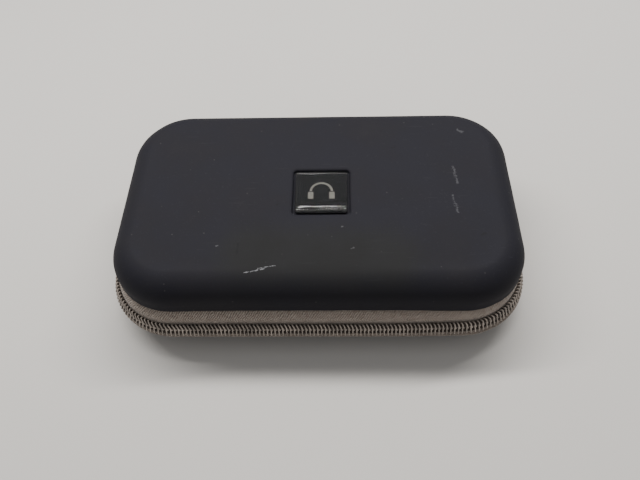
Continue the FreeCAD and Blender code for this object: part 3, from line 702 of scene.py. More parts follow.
@made_once
def tape_finish(name):
    """Herringbone polyester tape with yarns a little lighter and darker."""
    material, tree, place = new_finish(name, Specular_IOR_Level=0.25, Sheen_Weight=0.25, Sheen_Roughness=0.4)
    weave = effect(tree, "herringbone", {"Run": run_of(tree), "Pitch": 0.95, "Band": 2.3})
    dust = effect(tree, "dust", {"Place": place, "Spread": 0.9, "Amount": 0.5})[0]
    base = colour_of("tape")
    deep = times(base, 0.34)
    light = times(base, 1.5)
    rosy = (base[0] * 0.80, base[1] * 0.66, base[2] * 0.62, 1)
    tone = mixed(tree, span(tree, weave["Height"], 0.15, 1.15), deep, light)
    patch = noisy(tree, place, 0.55, 4.0, 0.65)
    tone = mixed(tree, product(tree, weave["Yarn"], 0.5), tone, rosy)
    tone = mixed(tree, product(tree, span(tree, patch, 0.42, 0.66), 0.35), tone, light)
    tone = mixed(tree, dust, tone, (0.42, 0.40, 0.37, 1))
    dull = raised(tree, 0.72, weave["Fuzz"], 0.2)
    return finished(material, tone, dull, weave["Height"], 0.7, 0.00025)


@made_once
def coil_finish(name):
    """Nylon strand, smooth with drawn streaks and small dirt."""
    material, tree, place = new_finish(name, Specular_IOR_Level=0.5)
    grain = effect(tree, "grain", {"Place": place, "Fine": 5.0, "Broad": 0.25})
    base = colour_of("coil")
    deep = times(base, 0.62)
    light = times(base, 1.25)
    tone = mixed(tree, grain["Blotch"], deep, light)
    tone = mixed(tree, product(tree, grain["Speckle"], 0.5), tone, (0.06, 0.05, 0.04, 1))
    dull = raised(tree, 0.30, grain["Blotch"], 0.15)
    return finished(material, tone, dull, grain["Height"], 0.15, 0.00004)


@made_once
def fibre_finish(name, tint, roughness, fine=4.0):
    """Twisted yarn or thread: streaky and dull."""
    material, tree, place = new_finish(name, Specular_IOR_Level=0.25, Sheen_Weight=0.2, Sheen_Roughness=0.45)
    grain = effect(tree, "grain", {"Place": place, "Fine": fine, "Broad": 0.3})
    base = colour_of(tint)
    deep = times(base, 0.6)
    light = times(base, 1.5)
    tone = mixed(tree, grain["Height"], deep, light)
    dull = raised(tree, roughness, grain["Blotch"], 0.12)
    return finished(material, tone, dull, grain["Height"], 0.5, 0.00008)


@made_once
def lining_finish(name):
    """Brushed knit glued inside the shells."""
    material, tree, place = new_finish(name, Specular_IOR_Level=0.2, Sheen_Weight=0.35, Sheen_Roughness=0.35)
    knit = effect(tree, "knit", {"Place": place, "Pitch": 0.85})
    dust = effect(tree, "dust", {"Place": place, "Spread": 0.5, "Amount": 0.35})[0]
    base = colour_of("lining")
    deep = times(base, 0.6)
    light = times(base, 1.7)
    tone = mixed(tree, span(tree, knit["Height"], -0.2, 0.6), deep, light)
    tone = mixed(tree, product(tree, knit["Shade"], 0.3), tone, (0.034, 0.033, 0.034, 1))
    tone = mixed(tree, dust, tone, (0.22, 0.21, 0.20, 1))
    dull = raised(tree, 0.82, knit["Shade"], 0.1)
    return finished(material, tone, dull, knit["Height"], 0.6, 0.00014)


@made_once
def trim_finish(name, pitch, band):
    """Woven trim: bindings, spine and elastic."""
    material, tree, _ = new_finish(name, Specular_IOR_Level=0.25, Sheen_Weight=0.2, Sheen_Roughness=0.4)
    weave = effect(tree, "herringbone", {"Run": run_of(tree), "Pitch": pitch, "Band": band})
    base = colour_of("trim")
    deep = times(base, 0.5)
    light = times(base, 2.0)
    tone = mixed(tree, span(tree, weave["Height"], 0.1, 1.2), deep, light)
    tone = mixed(tree, product(tree, weave["Yarn"], 0.3), tone, (0.040, 0.039, 0.041, 1))
    dull = raised(tree, 0.74, weave["Fuzz"], 0.15)
    return finished(material, tone, dull, weave["Height"], 0.6, 0.0001)


@made_once
def metal_finish(name):
    """Dark plated die casting, polished where hands rub it."""
    material, tree, _ = new_finish(name, Metallic=1.0)
    place = own_place(tree)
    grain = effect(tree, "grain", {"Place": place, "Fine": 3.0, "Broad": 0.3})
    hairs = effect(tree, "scratches", {"Place": place, "Amount": 1.0})
    base = colour_of("metal")
    worn = times(base, 1.9)
    tone = mixed(tree, grain["Blotch"], base, times(base, 0.8))
    tone = mixed(tree, hairs["Rub"], tone, worn)
    dull = raised(tree, 0.26, grain["Blotch"], 0.14)
    dull = raised(tree, dull, hairs["Hairs"], 0.15)
    return finished(material, tone, dull, grain["Height"], 0.12, 0.00005)


@made_once
def mark_finish(name):
    """Pale ink with a little unevenness."""
    material, tree, _ = new_finish(name, Specular_IOR_Level=0.4)
    place = own_place(tree)
    grain = effect(tree, "grain", {"Place": place, "Fine": 5.0, "Broad": 0.6})
    base = colour_of("print_ink")
    tone = mixed(tree, grain["Blotch"], times(base, 0.75), base)
    return finished(material, tone, raised(tree, 0.4, grain["Blotch"], 0.1), grain["Height"], 0.1, 0.00003)


@made_once
def plate_finish(name):
    """Smooth dark print on the plate."""
    material, tree, _ = new_finish(name, Specular_IOR_Level=0.1)
    place = own_place(tree)
    grain = effect(tree, "grain", {"Place": place, "Fine": 4.0, "Broad": 0.12})
    base = colour_of("badge")
    tone = mixed(tree, grain["Blotch"], base, times(base, 1.8))
    return finished(material, tone, raised(tree, 0.7, grain["Blotch"], 0.1), grain["Height"], 0.05, 0.00004)


@made_once
def dome_finish(name):
    """Clear poured resin, glossy, with faint hair scratches."""
    material, tree, place = new_finish(name, IOR=1.36, Transmission_Weight=1.0, Specular_IOR_Level=0.4)
    hairs = effect(tree, "scratches", {"Place": place, "Amount": 1.0})
    grain = effect(tree, "grain", {"Place": place, "Fine": 2.0, "Broad": 0.3})
    dull = raised(tree, 0.03, hairs["Rub"], 0.05)
    tone = mixed(tree, grain["Blotch"], (0.93, 0.93, 0.92, 1), (0.98, 0.98, 0.98, 1))
    return finished(material, tone, dull, sums(tree, "SUBTRACT", grain["Blotch"], hairs["Hairs"]), 0.05, 0.00003)


@made_once
def floor_finish(name):
    """A pale matt table top."""
    material, tree, _ = new_finish(name, Specular_IOR_Level=0.25)
    place = own_place(tree)
    grain = effect(tree, "grain", {"Place": place, "Fine": 1.2, "Broad": 0.006})
    base = colour_of("floor")
    tone = mixed(tree, grain["Blotch"], times(base, 0.985), base)
    return finished(material, tone, raised(tree, 0.7, grain["Blotch"], 0.05), grain["Height"], 0.05, 0.00005)


# ---- Shells and linings


def crowned(points):
    """How far the lid's top has fallen at each point. It is level round the badge."""
    long, wide, level_part = 68, 38, 0.42
    away = np.hypot((points[:, 0] - BADGE_MIDDLE.x) / long, (points[:, 1] - BADGE_MIDDLE.y) / wide) - level_part
    return size_of("crown") * np.minimum(np.maximum(away, 0) / 0.6, 1.2) ** 1.6


def recess_ring(outwards, level, counts=COUNTS):
    """The badge's recess moved outwards, at one level."""
    half, corner = BADGE_HALF + 1.0, 1.6
    flat = outline(half + outwards, half + outwards, corner + max(outwards, -1.2), counts)
    flat = flat + np.array([BADGE_MIDDLE.x, BADGE_MIDDLE.y])
    return np.column_stack([flat, np.full(len(flat), level)])


def shrunk(ring, share):
    """A ring drawn in towards its middle."""
    middle = ring.mean(axis=0)
    return middle + (ring - middle) * share


def rounded_steps(round_over, steps):
    """Insets and falls along a quarter round, from its wall to its top."""
    turn = np.linspace(0, math.pi / 2, steps + 1)
    return [(round_over * (1 - math.cos(t)), round_over * (1 - math.sin(t))) for t in turn]


INNER_SHARES = (0.12, 0.4, 0.7)


def lid_rings():
    """The lid's skin from the middle of its inside, round its rim, over its top and down into the recess."""
    round_over, wall, top, rim = size_of("lid_round"), LINING_INSET, LID_TOP, LID_RIM
    inner_round = round_over - wall
    ceiling = high("lid_lining").z
    inner = [case_ring(wall + i, ceiling - f) for i, f in rounded_steps(inner_round, 6)]
    rings = [shrunk(inner[-1], share) for share in INNER_SHARES] + inner[::-1]
    rings += [case_ring(wall, z) for z in (ceiling - inner_round - 2, rim + 2, rim + 0.7)]
    rings += [case_ring(wall - 0.12, rim + 0.28), case_ring(wall - 0.5, rim + 0.04), case_ring(wall - 0.9, rim)]
    rings += [case_ring(i, rim + f) for i, f in rounded_steps(0.95, 5)[::-1]]
    rings += [case_ring(0.03, rim + 1.6), case_ring(0.08, rim + 2.6), case_ring(0.04, rim + 3.8)]
    rings += [case_ring(i, top - size_of("crown") * 0.92 - f) for i, f in rounded_steps(round_over, 14)]
    outer = rings.pop()
    mouth = recess_ring(1.5, top - 0.02)
    for share in np.linspace(0, 1, 13):
        ring = outer * (1 - share) + mouth * share
        ring[:, 2] = top - crowned(ring)
        rings.append(ring)
    rings += [recess_ring(o, top - f) for o, f in ((1.0, 0.07), (0.55, 0.2), (0.22, 0.42), (0.04, 0.72))]
    rings += [recess_ring(o, RECESS_FLOOR + f) for o, f in ((0.0, 0.35), (-0.08, 0.08), (-0.4, -0.02))]
    return rings + [shrunk(rings[-1], 0.5)]


def base_rings():
    """The base's skin from the middle of its inside, round its rim and across its bottom."""
    round_over, rim, inset = size_of("base_round"), BASE_RIM, BASE_INSET
    wall = inset + LINING_INSET
    floor = low("base_lining").z
    inner = [case_ring(wall + i, floor + f) for i, f in rounded_steps(round_over - LINING_INSET, 5)]
    rings = [shrunk(inner[-1], share) for share in INNER_SHARES] + inner[::-1]
    rings.append(case_ring(wall, rim - 0.7))
    rings += [case_ring(wall - 0.12, rim - 0.28), case_ring(wall - 0.5, rim - 0.04), case_ring(wall - 0.9, rim)]
    rings += [case_ring(inset + i, rim - f) for i, f in rounded_steps(0.95, 5)[::-1]]
    rings.append(case_ring(inset + 0.05, rim - 1.8))
    rings += [case_ring(inset + i, f) for i, f in rounded_steps(round_over, 10)]
    return rings + [shrunk(rings[-1], share) for share in (0.97, 0.9, 0.7, 0.4, 0.12)]


def made_uneven(rings, rim, way, first_outer, dip=0.0):
    """Small waves of the moulding, and puckers where the sewing draws in the rim at the corners.

    Rings before first_outer stay as they are. dip is how far the rim droops towards the front corners.
    """
    for ring in rings[first_outer:]:
        out = ring[:, :2] - ring[:, :2].mean(axis=0)
        out /= np.maximum(np.linalg.norm(out, axis=1, keepdims=True), 1e-6)
        from_rim = np.abs(ring[:, 2] - rim)
        near_rim = np.clip(1 - from_rim / 5.0, 0, 1)
        corner = np.clip((np.abs(ring[:, 0]) - 50) / 12, 0, 1) * np.clip((np.abs(ring[:, 1]) - 20) / 10, 0, 1)
        wave = ripple(ring, 26, 0.22, 4.0) + ripple(ring, 7, 0.05, 9.0)
        pucker = ripple(ring * np.array([1, 1, 0.15]), 3.6, 0.5, 21.0) * near_rim * corner
        drawn = -np.abs(wave) * 0.6 * np.clip(from_rim / 3, 0.25, 1) - np.abs(pucker)
        ring[:, :2] += out * drawn[:, None]
        lip = np.clip(near_rim * 1.4 - 0.4, 0, 1)
        ring[:, 2] += way * np.abs(ripple(ring, 9, 0.28, 33.0)) * lip
        ring[:, 2] -= way * lip * dip * np.clip((np.abs(ring[:, 0]) - 30) / 28, 0, 1) * (ring[:, 1] < 30)
    return rings


class ZIPCASE_OT_shells(bpy.types.Operator):
    """Moulds the lid and the base, each with its rim, its rounded edge and its inside"""

    bl_idname = "zip_case.shells"
    bl_label = "Shells"

    def execute(self, context):
        lid = made_uneven(lid_rings(), LID_RIM, TOP, 14, 0.6)
        dent, dent_deep, dent_reach = np.array((-73.0, 40.5, LID_TOP - 3.5)), 0.55, 4.5
        for ring in lid:
            away = np.linalg.norm(ring - dent, axis=1)
            ring[:, 2] -= dent_deep * np.exp(-((away / dent_reach) ** 2))
        piece = lofted("lid_skin", lid)
        finish_piece(piece, [skin_finish("lid_soft_skin", True)], ["lid_shell"], LID)
        base = made_uneven(base_rings(), BASE_RIM, BOTTOM, 13)
        piece = lofted("base_skin", base)
        finish_piece(piece, [skin_finish("base_soft_skin", False)], ["base_shell"], BASE)
        return {"FINISHED"}


def tray_rings(inset, rim, ceiling, round_over, thick):
    """A thin fabric tray: up its outer face and back down its inner one. The ceiling may be a floor."""
    way = 1 if ceiling > rim else -1
    outer = [case_ring(inset + i, ceiling - way * f) for i, f in rounded_steps(round_over, 6)]
    small = round_over - thick
    inner = [case_ring(inset + thick + i, ceiling - way * (thick + f)) for i, f in rounded_steps(small, 6)]
    rings = [shrunk(outer[-1], share) for share in INNER_SHARES] + outer[::-1]
    edge = ((0, 0.15), (0.2, 0.03), (0.8, 0.03), (1, 0.15))
    rings += [case_ring(inset + thick * i, rim + way * f) for i, f in edge]
    return rings + inner + [shrunk(inner[-1], share) for share in INNER_SHARES[::-1]]


class ZIPCASE_OT_linings(bpy.types.Operator):
    """Lays the knitted lining inside each shell"""

    bl_idname = "zip_case.linings"
    bl_label = "Linings"

    def execute(self, context):
        gap, thick = 0.02, 0.56
        lid = tray_rings(LINING_INSET + gap, LID_RIM + 0.1, high("lid_lining").z - gap, 7.4, thick)
        piece = lofted("lid_knit", lid)
        finish_piece(piece, [lining_finish("lining_knit")], ["lid_lining"], LID)
        inset = BASE_INSET + LINING_INSET
        base = tray_rings(inset + gap, BASE_RIM - 0.1, low("base_lining").z + gap, 3.9, thick)
        piece = lofted("base_knit", base)
        finish_piece(piece, [lining_finish("lining_knit")], ["base_lining"], BASE)
        return {"FINISHED"}


def band_section(inset, thick, bottom, top, fold):
    """The closed section, (inset, level), of a folded band inside a rim, with soft corners."""
    tall = top - bottom
    across = [(0, fold), (0.3, 0.02), (0.7, 0.02), (1, fold), (1, tall * 0.45), (0.92, tall * 0.72)]
    across += [(1, tall - fold), (0.7, tall - 0.02), (0.3, tall - 0.02), (0, tall - fold)]
    return [(inset + thick * share, bottom + up) for share, up in across]


def banded(name, section):
    """A closed section of (inset, level) carried round the case, with its run kept for the weave."""
    rings, runs = [], []
    gone = 0.0
    for number, (inset, level) in enumerate(section):
        ring = case_ring(inset, level)
        steps = np.linalg.norm(np.roll(ring, -1, axis=0) - ring, axis=1)
        along = np.concatenate([[0], np.cumsum(steps)[:-1]])
        ring[:, 2] += ripple(ring, 5.0, 0.05, 2.0 + number) * 0.6
        rings.append(ring)
        runs.append(np.column_stack([along, np.full(len(ring), gone), np.zeros(len(ring))]))
        following = section[(number + 1) % len(section)]
        gone += math.hypot(following[0] - inset, following[1] - level)
    return lofted(name, rings, closed=True, run=np.concatenate(runs))


class ZIPCASE_OT_bindings(bpy.types.Operator):
    """Folds the binding over the sewn margin inside each rim"""

    bl_idname = "zip_case.bindings"
    bl_label = "Bindings"

    def execute(self, context):
        for body in (LID, BASE):
            node_name = f"{body}_rim_binding"
            inset = HALF_LENGTH - high(node_name).x
            section = band_section(inset + 0.01, BINDING_THICK - 0.02, low(node_name).z, high(node_name).z, 0.25)
            piece = banded(f"{body}_binding", section)
            finish_piece(piece, [trim_finish("binding_weave", 0.5, 0.6)], [node_name], body)
        return {"FINISHED"}


class ZIPCASE_OT_seams(bpy.types.Operator):
    """Sews the line of stitches round each rim, one stitch at a time"""

    bl_idname = "zip_case.seams"
    bl_label = "Seams"

    def execute(self, context):
        stitch, space, thread, steps = size_of("stitch"), 0.7, 0.22, 9
        share = np.linspace(0, 1, steps)
        sunk = 0.24 - 0.42 * np.clip(1 - 4.5 * np.minimum(share, 1 - share), 0, 1) ** 2
        slant = 0.10 * (share - 0.5)
        radius = thread * (1 - 0.5 * (2 * share - 1) ** 4)
        for body in (LID, BASE):
            node_name = f"{body}_seam_thread"
            inset = HALF_LENGTH - high(node_name).x
            level = (low(node_name).z + high(node_name).z) / 2
            outline_sizes = HALF_LENGTH - inset, HALF_WIDTH - inset, size_of("corner_radius") - inset, 0
            whole = outline_length(*outline_sizes)
            count = int(whole / (stitch + space))
            parts = []
            for k in range(count):
                flat, out = along_outline(k * whole / count + share * stitch, *outline_sizes)
                path = np.column_stack([flat - out * sunk[:, None], level + slant])
                parts.append(tube(path, (0, 0, 1.0), radius))
            piece = make_piece(f"{body}_stitches", *gathered(parts))
            finish_piece(piece, [fibre_finish("seam_thread", "thread", 0.6, 6.0)], [node_name], body)
        return {"FINISHED"}


# ---- The zip


def sewn_end(way):
    """How far from the zip's middle a fabric turns in under a rim, and the last points of its line there."""
    level = HALF_BAND - TAPE_GAP - TAPE_THICK / 2
    margin = -(LINING_INSET + BINDING_THICK + (0 if way == TOP else BASE_INSET) + TAPE_THICK / 2)
    return level, [(margin, way * level), (margin, way * (HALF_BAND + SEWN_WIDTH))]


def tape_line(way):
    """The middle of a tape's section, from its edge beside the coils to the end of its sewn margin."""
    level, sewn = sewn_end(way)
    edge = chain_place(way * 0.8, -TAPE_THICK / 2)
    flat_end = chain_place(way * 5.0, -TAPE_THICK / 2)
    turn = 2 * TAPE_THICK if way == TOP else TAPE_THICK
    line = [edge, flat_end]
    if way == TOP:
        line.append((flat_end[0] - turn / 2, way * (level - turn)))
    line.append((flat_end[0] - 3 * turn / 2, way * level))
    return [(float(u), float(v)) for u, v in line + sewn]


def strip_middle(line):
    """A strip's line with rounded bends at even steps, and how far across the strip each point is."""
    return evened(soften(line, 0.7), 0.62)


def strip_of(name, stations, line, points_at, sway=0.0, give_to=6.0, splay=0.0):
    """A woven strip: a middle line of (u, v), rounded and thickened, carried along stations.

    give_to is how far across the strip it still gives way to the chain's hang, and splay how much further out
    it stands with each millimetre across.
    """
    middle, across = strip_middle(line)
    ahead = np.gradient(middle, axis=0)
    ahead /= np.linalg.norm(ahead, axis=1, keepdims=True)
    normal = np.column_stack([-ahead[:, 1], ahead[:, 0]])
    half = TAPE_THICK / 2
    upper, lower = middle + normal * half, middle - normal * half
    for face in (upper, lower):
        face[0] += ahead[0] * half * 0.4
        face[-1] -= ahead[-1] * half * 0.4
    section = np.concatenate([upper, [middle[-1]], lower[::-1], [middle[0]]])
    width = across[-1]
    own = np.concatenate([across, [width], across[::-1], [0.0]])
    give = np.clip((give_to - own) / (give_to - 2.4), 0, 1)
    flare = splay * np.minimum(own + 0.8, 4.4) * np.clip((give_to + 1.2 - own) / 3.0, 0, 1)
    crosswise = np.concatenate([across, [width + half], 2 * width + half * 2 - across, [-half]])
    free = np.clip(1 - np.abs(crosswise - 3.0) / 3.0, 0, 1)
    count, half_count = len(section), len(upper)
    rings, runs = [], []
    for station in stations:
        flat = np.full(count, station)
        wobble = sway * noise.noise(Vector((station / 6.0, 0.3, 7.1)))
        rings.append(points_at(flat, section[:, 0] + wobble * free, section[:, 1], give, flare))
        runs.append(np.column_stack([flat, crosswise, np.zeros(count)]))
    faces = ring_faces(len(rings), count)
    for first, flip in ((0, False), ((len(rings) - 1) * count, True)):
        for p in range(half_count - 1):
            q = count - 2 - p
            quad = (first + p, first + p + 1, first + q - 1, first + q)
            faces.append(quad[::-1] if flip else quad)
        faces.append((first + half_count - 1, first + half_count, first + half_count + 1))
        faces.append((first, first + count - 2, first + count - 1))
    return make_piece(name, np.concatenate(rings), faces, run=np.concatenate(runs))


def stations_between(first, last, spacing=1.15):
    return np.linspace(first, last, max(int(round((last - first) / spacing)), 2) + 1)


class ZIPCASE_OT_tapes(bpy.types.Operator):
    """Weaves the zip's two tapes and sews them into the rims"""

    bl_idname = "zip_case.tapes"
    bl_label = "Zip tapes"

    def execute(self, context):
        start, left, right, _, end = zip_stations()
        weave = tape_finish("zip_tape_weave")
        lower = {"sway": 0.05, "give_to": 5.2, "splay": 0.24}
        upper = {"sway": 0.12, "splay": 0.255}
        for name, way, first, last, node_name, body, manner in (
            ("tape_lower", BOTTOM, start, end, "zip_tape_lower", BASE, lower),
            ("tape_upper", TOP, left, right, "zip_tape_upper", LID, upper),
            ("tape_upper_left", TOP, start, left, "zip_tape_upper_end_left", None, upper),
            ("tape_upper_right", TOP, right, end, "zip_tape_upper_end_right", None, upper),
        ):
            piece = strip_of(name, stations_between(first, last), tape_line(way), zip_points, **manner)
            finish_piece(piece, [weave], [node_name], body)
            if body is None:
                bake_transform(piece)
        return {"FINISHED"}


def squared(wave, power=0.62):
    """A sine or cosine with flatter tops."""
    return np.sign(wave) * np.abs(wave) ** power


def coil_mesh(way, first, last):
    """A coil's strand and its filler cord between two stations, with which material each face has. The cord is a real
    part, but its near black colour is painted shade in the gaps between the turns.
    """
    pitch, radius = size_of("coil_pitch"), size_of("strand") / 2
    count_before = math.ceil(first / pitch - 1e-6)
    count = math.floor(last / pitch + 1e-6) - count_before
    per_turn = 16
    turn = np.arange(count * per_turn + 1) / per_turn
    share = turn % 1
    phase = share * 2 * math.pi
    head, tail = -0.30, 2.66
    s = way * ((head + tail) / 2 + way * squared(np.cos(phase)) * (tail - head) / 2)
    at_head = np.exp(-(((s + way * 0.15) / 0.55) ** 2))
    n = 0.92 + squared(np.sin(phase)) * 0.54 + at_head * 0.10 - np.abs(s) * 0.04
    over, offset = (0.92, 0.0) if way == TOP else (0.12, 0.46)
    advance = np.where(share < 0.5, share * 2 * over, over + (share - 0.5) * 2 * (1 - over))
    distance = (count_before + np.floor(turn) + advance + offset) * pitch
    distance = np.clip(distance, first + radius, last - radius)
    path = zip_points(distance, *chain_place(s, n), 1.0, np.where(s > 0, 0.255 * s, -0.17 * s))
    path += ripple(path, 1.1, 0.05, 11.0)[:, None]
    across = np.column_stack([along_zip(distance + 0.05)[0] - along_zip(distance - 0.05)[0], np.zeros(len(distance))])
    strand = tube(path, across, radius * (0.86 + 0.30 * at_head), 7)
    stations = stations_between(first + 0.3, last - 0.3, 1.5)
    ones = np.ones(len(stations))
    cord_path = zip_points(stations, *chain_place(ones * way * 1.25, ones * 0.93), 1.0, 0.32 if way == TOP else 0.21)
    outwards = np.column_stack([along_zip(stations)[1] * math.cos(lean_of_zip()), ones * math.sin(lean_of_zip())])
    cord = tube(cord_path, outwards, 0.95, 10, flat=0.28)
    verts, faces = gathered([strand, cord])
    return verts, faces, [0] * len(strand[1]) + [1] * len(cord[1])


class ZIPCASE_OT_coils(bpy.types.Operator):
    """Winds the zip's coils round their filler cords, whose near black colour paints the shade between the turns"""

    bl_idname = "zip_case.coils"
    bl_label = "Zip coils"

    def execute(self, context):
        start, left, right, corner, end = zip_stations()
        parted = end - (low("zip_coil_upper_end_right").x - SPINE_HALF - SPINE_GAP)
        # The filler cord's dark finish is painted shade for the gaps between the turns.
        materials = [coil_finish("zip_coil_nylon"), fibre_finish("filler_cord", "cord", 0.85)]
        pieces = [
            ("coil_upper", TOP, left, right, "zip_coil_upper", LID),
            ("coil_lower", BOTTOM, start, corner, "zip_coil_lower", BASE),
            ("coil_upper_left", TOP, start, left, "zip_coil_upper_end_left", None),
            ("coil_upper_right", TOP, right, parted, "zip_coil_upper_end_right", None),
            ("coil_lower_right", BOTTOM, corner, parted, "zip_coil_lower_end_right", BASE),
        ]
        for name, way, first, last, node_name, body in pieces:
            verts, faces, kinds = coil_mesh(way, first, last)
            piece = make_piece(name, verts, faces, material_of_face=kinds)
            finish_piece(piece, materials, [node_name], body)
            if body is None:
                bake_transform(piece)
        return {"FINISHED"}


# ---- The spine


def back_points(distance, u, v, give=0.0, splay=0.0):
    """Points behind the case at distances from the middle, towards the left. Nothing hangs there."""
    return np.column_stack([-np.asarray(distance), HALF_WIDTH + np.asarray(u), ZIP_LEVEL + np.asarray(v)])


class ZIPCASE_OT_spine(bpy.types.Operator):
    """Makes the fabric hinge, outside and inside, and its two bars of dense stitching"""

    bl_idname = "zip_case.spine"
    bl_label = "Spine"

    def execute(self, context):
        self.cloths()
        for side in ("left", "right"):
            self.bartack(side)
        return {"FINISHED"}

    def cloths(self):
        out = 1.3 - TAPE_THICK / 2
        outer = []
        for way in (BOTTOM, TOP):
            level, sewn = sewn_end(way)
            turn = [(out, way * 2.5 * TAPE_THICK), (out - TAPE_THICK, way * (level - 2 * TAPE_THICK))]
            half = [*turn, (out - 3 * TAPE_THICK, way * level), *sewn]
            outer += half if way == TOP else half[::-1]
        lo, hi = low("spine_lining"), high("spine_lining")
        near, far = lo.y - HALF_WIDTH + TAPE_THICK / 2, hi.y - HALF_WIDTH - TAPE_THICK / 2
        inner = [(near, lo.z - ZIP_LEVEL), (near, -HALF_BAND), (far, HALF_BAND), (far, hi.z - ZIP_LEVEL)]
        for name, node_name, line, sway in (
            ("spine_cloth", "spine_outer", outer, 0.05),
            ("spine_inner_cloth", "spine_lining", inner, 0.0),
        ):
            half = high(node_name).x
            piece = strip_of(name, stations_between(-half, half, 1.2), line, back_points, sway=sway)
            finish_piece(piece, [trim_finish("spine_weave", 0.7, 1.6)], [node_name])
            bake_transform(piece)

    def bartack(self, side):
        """One thread that goes to and fro as it climbs, over two that stand."""
        node_name = f"spine_bartack_{side}"
        lo, hi = low(node_name), high(node_name)
        strokes = 26
        share = np.linspace(0, 1, strokes * 6 + 1)
        swing = (share * strokes) % 2
        swing = np.where(swing > 1, 2 - swing, swing)
        x = lo.x + 0.12 + (hi.x - lo.x - 0.24) * swing
        y = lo.y + 0.2 + 0.16 * np.sin(swing * math.pi)
        z = lo.z + 0.15 + (hi.z - lo.z - 0.3) * share
        parts = [tube(np.column_stack([x, y, z]), (0, 1.0, 0), 0.16)]
        core = np.linspace(lo.z + 0.1, hi.z - 0.1, 20)
        for aside in (0.3, 0.7):
            column = np.full((20, 3), (lo.x + (hi.x - lo.x) * aside, lo.y + 0.16, 0))
            column[:, 2] = core
            parts.append(tube(column, (0, 1.0, 0), 0.14))
        piece = make_piece(f"bartack_{side}", *gathered(parts))
        finish_piece(piece, [fibre_finish("seam_thread", "thread", 0.6, 6.0)], [node_name])
        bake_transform(piece)


# ---- The pocket in the lid


class ZIPCASE_OT_pocket(bpy.types.Operator):
    """Knots the pocket's net and folds the elastic over its open edge"""

    bl_idname = "zip_case.pocket"
    bl_label = "Pocket"

    def execute(self, context):
        self.net()
        self.elastic()
        return {"FINISHED"}

    def net(self):
        """Whole six-sided cells inside the outline, opened up and thickened."""
        lo, hi = low("pocket_net"), high("pocket_net")
        cell = size_of("net_cell")
        side = cell / math.sqrt(3)
        inset = HALF_LENGTH - hi.x + 0.1
        corner = size_of("corner_radius") - inset
        sx, sy = HALF_LENGTH - inset - corner, HALF_WIDTH - inset - corner
        level = (lo.z + hi.z) / 2
        yarn_half, yarn_thick = 0.52, 0.46
        work = bmesh.new()
        kept = {}

        def vertex(x, y):
            key = (round(x * 50), round(y * 50))
            if key not in kept:
                sag = 0.12 * noise.noise(Vector((x / 14, y / 14, 5.0)))
                kept[key] = work.verts.new((x, y, level + sag))
            return kept[key]

        def inside(x, y):
            if y > hi.y - 0.3 or abs(x) > sx + corner or y < -(sy + corner):
                return False
            over_x, over_y = max(abs(x) - sx, 0), max(-y - sy, 0)
            return math.hypot(over_x, over_y) < corner or over_x == 0 or over_y == 0

        rows = int((hi.y - lo.y) / (1.5 * side)) + 2
        columns = int((hi.x - lo.x) / cell) + 3
        for row in range(rows):
            y = lo.y + row * 1.5 * side
            for column in range(columns):
                x = lo.x + (column + 0.5 * (row % 2)) * cell
                turns = [math.pi / 6 + k * math.pi / 3 for k in range(6)]
                corners = [(x + side * math.cos(turn), y + side * math.sin(turn)) for turn in turns]
                if all(inside(a, b) for a, b in corners):
                    work.faces.new([vertex(a, b) for a, b in corners])
        cells = work.faces[:]
        knots = set(kept.values())
        work.normal_update()
        bmesh.ops.inset_individual(work, faces=cells, thickness=yarn_half, use_even_offset=True)
        openings = {(round(v.co.x, 2), round(v.co.y, 2)) for v in work.verts if v not in knots}
        bmesh.ops.delete(work, geom=cells, context="FACES_ONLY")
        work.normal_update()
        bmesh.ops.solidify(work, geom=work.faces[:], thickness=yarn_thick)
        middle = sum(v.co.z for v in work.verts) / len(work.verts)
        for v in work.verts:
            v.co.z += level - middle
            if (round(v.co.x, 2), round(v.co.y, 2)) in openings:
                v.co.z = level + (v.co.z - level) * 0.5
        verts = np.array([v.co[:] for v in work.verts])
        work.verts.index_update()
        faces = []
        for face in work.faces:
            found = [v.index for v in face.verts]
            lowest = found.index(min(found))
            faces.append(found[lowest:] + found[:lowest])
        work.free()
        piece = make_piece("pocket_mesh", verts, sorted(faces))
        finish_piece(piece, [fibre_finish("net_yarn", "trim", 0.7, 5.0)], ["pocket_net"], LID)

    def elastic(self):
        """A flat band with ribs along it, gathered here and there."""
        lo, hi = low("pocket_elastic"), high("pocket_elastic")
        middle_y, middle_z = (lo.y + hi.y) / 2, (lo.z + hi.z) / 2
        half_y, half_z = (hi.y - lo.y) / 2 - 0.03, (hi.z - lo.z) / 2 - 0.03
        sides = 40
        turn = np.arange(sides) * 2 * math.pi / sides
        across = squared(np.cos(turn), 0.35) * half_y
        up = squared(np.sin(turn), 0.6) * half_z
        ribs = 1 - 0.05 * (0.5 + 0.5 * np.cos(across * 6.5))
        round_part = np.concatenate([[0], np.cumsum(np.hypot(np.diff(across), np.diff(up)))])
        rings, runs = [], []
        for x in np.linspace(lo.x + 0.05, hi.x - 0.05, 220):
            gather = 1 - 0.10 * (0.5 + 0.5 * math.sin(x * 4.2 + 0.6 * math.sin(x * 0.9)))
            wave = 0.03 * noise.noise(Vector((x / 5, 0, 0)))
            at = np.full(sides, x)
            rings.append(np.column_stack([at, middle_y + across * 0.99 + wave, middle_z + up * gather * ribs]))
            runs.append(np.column_stack([at, round_part, np.zeros(sides)]))
        verts = np.concatenate(rings)
        faces = ring_faces(len(rings), sides)
        faces += [tuple(range(sides)), tuple(range(len(verts) - sides, len(verts)))]
        piece = make_piece("pocket_band", verts, faces, run=np.concatenate(runs), sharp=60)
        finish_piece(piece, [trim_finish("elastic_weave", 0.55, 0.8)], ["pocket_elastic"], LID)


# ---- The badge

BADGE_COUNTS = (14, 8, 28, 8, 28, 8, 28, 8, 14)


